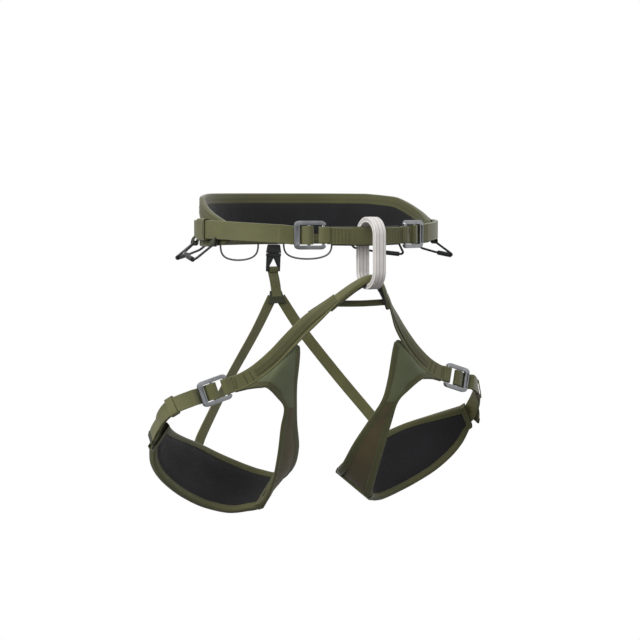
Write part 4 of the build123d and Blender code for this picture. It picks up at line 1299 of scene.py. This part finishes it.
def cut(piece, tool):
    """Takes one shape out of another."""
    m = piece.modifiers.new("cut", "BOOLEAN")
    m.object = tool
    m.operation = "DIFFERENCE"
    m.solver = "EXACT"
    bpy.ops.object.select_all(action="DESELECT")
    piece.select_set(True)
    bpy.context.view_layer.objects.active = piece
    bpy.ops.object.modifier_apply(modifier=m.name)
    bpy.data.objects.remove(tool)


socket = block("clip_socket_body", (20.0, 7.2, 11.0), (0, 0, 5.5), NYLON)
edit(socket)
pick(socket, "faces", lambda c: abs(c.y) > 3)
bpy.ops.mesh.inset(thickness=2.4 * MM, use_individual=True)
bpy.ops.mesh.extrude_region_shrink_fatten(TRANSFORM_OT_shrink_fatten={"value": -0.7 * MM})
bpy.ops.mesh.select_all(action="DESELECT")
pick(socket, "faces", lambda c: c.z < 0.2)
bpy.ops.mesh.inset(thickness=1.6 * MM)
raise_faces(3.5)
bpy.ops.mesh.select_all(action="DESELECT")
pick(socket, "faces", lambda c: c.z > 10.9)
bpy.ops.transform.resize(value=(0.82, 0.9, 1))
soften(socket, 0.9)
put_in_place(socket, CLIP)
settle(socket, "waist", ["clip_socket"])

tongue = block("clip_tongue_body", (20.0, 4.4, 21.0), (0, 0, -14.8), NYLON)
bpy.ops.mesh.primitive_cylinder_add(vertices=3, radius=9.6 * MM, depth=20 * MM, rotation=(math.pi / 2, 0, 0))
hole = bpy.context.active_object
bpy.ops.object.transform_apply(rotation=True)
tip = max(hole.data.vertices, key=lambda v: abs(v.co.z)).co.z
shape = Vector((0.92, 1, math.copysign(1.0, tip)))
hole.data.transform(Matrix.LocRotScale(Vector((0, 0, -15.2 * MM)), None, shape))
cut(tongue, hole)
edit(tongue)
pick(tongue, "faces", lambda c: abs(c.x) > 9.9)
bpy.ops.mesh.inset(thickness=1.2 * MM, use_individual=True)
bpy.ops.mesh.extrude_region_shrink_fatten(TRANSFORM_OT_shrink_fatten={"value": -0.8 * MM})
soften(tongue, 0.7)
neck = block("clip_neck", (20.0, 6.2, 4.2), (0, 0, -2.75), NYLON)
edit(neck)
pick(neck, "faces", lambda c: abs(c.x) > 9.9)
bpy.ops.mesh.inset(thickness=0.9 * MM, use_individual=True)
bpy.ops.mesh.extrude_region_shrink_fatten(TRANSFORM_OT_shrink_fatten={"value": 0.6 * MM})
soften(neck, 0.7)
prong = block("clip_prong", (12.0, 2.2, 8.0), (0, 0, 2.6), NYLON)
edit(prong)
pick(prong, "faces", lambda c: c.z > 6)
bpy.ops.transform.resize(value=(0.8, 0.7, 1))
soften(prong, 0.4)
for p in (tongue, neck, prong):
    put_in_place(p, CLIP)
tongue = join("clip_tongue_body", [tongue, neck, prong])
settle(tongue, "leg_loops", ["clip_tongue"])

tab_y = WAIST_B + PAD_OUT + GAP
low = BASE - 23.0
pts = [(0, tab_y + 0.7, -7), (0, tab_y + 0.7, -11), (0, tab_y + 0.7, low + 2), (0, tab_y + 0.4, low)]
tab = ribbon("clip_tab_webbing", path_rows(pts, (1, 0, 0), 14),
             web_profile(14.0, 1.4, -0.7, edge=0.35, steps=5), BLACK_WEB)
settle(tab, "waist", ["clip_tab"])

# ------------------------------------------------------------------ risers
rows = []
run = 0.0
for i in range(36):
    a = 2 * math.pi * i / 36
    y = math.copysign(abs(math.cos(a)) ** 0.6, math.cos(a)) * 3.2
    z = math.copysign(abs(math.sin(a)) ** 0.6, math.sin(a)) * 3.5
    spot = CLIP.at(0, y, z - 22.75)
    face = (CLIP.y * (y / 3.2) + CLIP.z * (z / 3.5)).normalized()
    if rows:
        run += (spot - rows[-1][0]).length
    rows.append((spot, Vector((1, 0, 0)), face, run))
wrap = ribbon("riser_bar_wrap", rows, web_profile(13.0, 1.3, -0.6, edge=0.35, steps=5), OLIVE_WEB,
              closed=True)
junction = Vector((0, 109, -94))
loop_low = CLIP.at(0, 0, -25 - 0.3 - RISER_T + 0.4)
drop_rows = path_rows([loop_low, (0, 114.5, -70), junction], (1, 0, 0), 30)
drop = ribbon("riser_drop", drop_rows, web_profile(RISER_W, 2.4, -1.2), OLIVE_WEB)
knot_rows = path_rows([(0, 113.4, -80), (0, 111.2, -88), (0, 108.6, -96)], (1, 0, 0), 12)


def patch_ring(i, s):
    """Sewn patch that widens over the spread of the two risers."""
    w = 8.6 + 4.2 * i / 11
    return web_profile(2 * w, 4.2, -2.1, edge=0.8)(i, s)


patch = ribbon("riser_patch", knot_rows, patch_ring, DARK_WEB)
strap = join("riser_strap_webbing", [wrap, drop, patch])
settle(strap, "leg_loops", ["riser_strap"])

on_band = PAD_HALF + 0.2 + 0.8 + 0.3 + RISER_T / 2 + 0.2
up3, across3, out3 = LEG[3 * FINE][0], LEG[3 * FINE][1], LEG[3 * FINE][2]
riser_end = up3 + across3 * 11 + out3 * on_band
riser_over = up3 - across3 * 4 + out3 * (on_band + 1.2)
RISER = [(6.6, 109 + 2 * RISER_T + 0.2, -89), (36, 105, -134), (82, 92, -194),
         riser_over + Vector((-12, 5, 19)), riser_over, riser_end]
RISER_OUT = [(0, 1, 0.1), (0.15, 0.98, 0.15), (0.2, 0.97, 0.2), (0.1, 0.98, 0.15), (0.05, 0.98, 0.1),
             (0.05, 0.98, 0)]
riser_rows = strap_row(RISER, RISER_OUT, 90)
riser = ribbon("riser_elastic_left", riser_rows, web_profile(RISER_W, RISER_T, -RISER_T / 2), OLIVE_WEB)
both(riser, "leg_loops", ["riser_left"])
place, across, out, done = riser_rows[-3]
spots = tack(Place(place, across.cross(out) * -1, out), -1, 0.8, 6.4, length=1.8)
place, across, out, done = riser_rows[-6]
spots += tack(Place(place, across.cross(out) * -1, out), -1, 0.8, 6.4, length=1.8)
both(dashes("riser_tacks_left", spots, DARK_WEB), "leg_loops", [])

# ------------------------------------------------------------------ gear loops keep their CAD shape
for name in ("side_loop", "side_sleeve", "rear_loop", "rear_sleeve"):
    for side, s in SIDES:
        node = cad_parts[name + "_" + side]
        node.data.materials.clear()
        node.data.materials.append(NYLON)
GEAR_Z, GEAR_OUT = -11.5, 2.4
tabs = []
for rear, front in ((104, 78), (141, 113), (173.5, 149)):
    foot = (belt_point(front, GEAR_OUT, GEAR_Z) - belt_point(rear, GEAR_OUT, GEAR_Z)).normalized()
    for a in (rear, front):
        pin = belt_point(a, GEAR_OUT, GEAR_Z)
        side = belt_out(a)
        pts = [belt_point(a, -2.6, 2.0), belt_point(a, -2.6, -5.0), pin - side * 3.1 + Vector((0, 0, 1.2))]
        for k in range(7):
            t = math.radians(180 + 30 * k)
            pts.append(pin + side * (3.1 * math.cos(t)) + Vector((0, 0, 3.1 * math.sin(t))))
        pts += [pin + side * 1.6 + Vector((0, 0, 5.0)), belt_point(a, 0.5, -2.0), belt_point(a, 0.5, 2.5)]
        flat_tab = web_profile(6.6, 0.9, -0.45, edge=0.3, steps=4)
        tabs.append(ribbon("gear_tab", path_rows(pts, foot, 46), flat_tab, DARK_WEB))
tab = join("gear_loop_tabs_left", tabs)
both(tab, "waist", [])
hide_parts("gear_anchors")

# ------------------------------------------------------------------ thin cord loops at the back
rear, front = belt_point(173.5, GEAR_OUT, GEAR_Z), belt_point(149, GEAR_OUT, GEAR_Z)
span = front - rear
row = []
run = 0.0
for i in range(61):
    t = i / 60
    a = math.pi * t
    lean = -0.5 * math.cos(a) * (1 + 0.18 * math.sin(a) ** 2)
    spot = rear + span * (0.5 + lean * 0.98) + Vector((0, 0, -1.6 - 24.5 * math.sin(a) ** 0.62))
    if row:
        run += (spot - row[-1][0]).length
    row.append((spot, run))
depth = span.cross(Vector((0, 0, 1))).normalized()
cord_rows = []
for i, (spot, run) in enumerate(row):
    way = (row[min(i + 1, 60)][0] - row[max(i - 1, 0)][0]).normalized()
    cord_rows.append((spot, depth, depth.cross(way).normalized(), run))
circle = [(1.25 * math.cos(math.radians(30 * k)), 1.25 * math.sin(math.radians(30 * k))) for k in range(12)]
cord = ribbon("rear_cord_loop_left", cord_rows, lambda i, s: circle, CORD, smooth=60)
both(cord, "cord_gear_loop_left", ["cord_loop_left"])

# ------------------------------------------------------------------ surround, light and camera
world = bpy.data.worlds.new("white_studio")
bpy.context.scene.world = world
world.use_nodes = True
sky = world.node_tree
sky.nodes.clear()
around = put(sky, "ShaderNodeTexCoord")
turned = put(sky, "ShaderNodeMapping", {
    "Vector": around.outputs["Generated"], "Rotation": (0, math.radians(-35), math.radians(25))})
height = put(sky, "ShaderNodeSeparateXYZ", {0: turned.outputs[0]})
level = put(sky, "ShaderNodeMapRange", {0: height.outputs[2], 1: -0.9, 2: 0.9, 3: 0.12, 4: 0.85},
            interpolation_type="SMOOTHSTEP")
air = put(sky, "ShaderNodeBackground", {"Color": (1, 1, 1, 1), "Strength": level.outputs[0]})
put(sky, "ShaderNodeOutputWorld", {"Surface": air.outputs[0]})

bpy.ops.mesh.primitive_uv_sphere_add(radius=9, segments=48, ring_count=24)
surround = bpy.context.active_object
surround.name = "white_surround"
glow, tree = start_material("white_surround")
white = put(tree, "ShaderNodeEmission", {"Color": (1, 1, 1, 1), "Strength": 1.0})
put(tree, "ShaderNodeOutputMaterial", {"Surface": white.outputs[0]})
surround.data.materials.append(glow)
for ray in ("diffuse", "glossy", "transmission", "volume_scatter", "shadow"):
    setattr(surround, "visible_" + ray, False)
surround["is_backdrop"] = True


def softbox(name, place, target, size, watts):
    light = bpy.data.lights.new(name, "AREA")
    light.shape = "RECTANGLE"
    light.size, light.size_y = size
    light.energy = watts
    lamp = bpy.data.objects.new(name, light)
    bpy.context.collection.objects.link(lamp)
    lamp.location = place
    lamp.rotation_euler = (Vector(target) - Vector(place)).to_track_quat("-Z", "Y").to_euler()
    return lamp


softbox("key_left", (-2.0, -0.55, 0.75), (0, 0, -0.1), (1.1, 1.1), 46)
softbox("front_top", (-0.3, -1.6, 1.7), (0, 0, -0.1), (1.4, 0.9), 13)
softbox("rim_right", (1.5, 0.6, 1.0), (0, 0, -0.1), (0.8, 0.8), 8)

camera = bpy.data.cameras.new("camera")
camera.lens = 112.5
camera.sensor_width = 36
camera.clip_end = 50
eye = bpy.data.objects.new("camera", camera)
bpy.context.collection.objects.link(eye)
eye.location = (-1.2982, -2.2551, 0.04586)
eye.rotation_euler = (Vector((-0.00064, -0.0076, -0.1129)) - eye.location).to_track_quat("-Z", "Y").to_euler()
bpy.context.scene.camera = eye
bpy.context.scene.view_settings.view_transform = "Standard"

low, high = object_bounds()
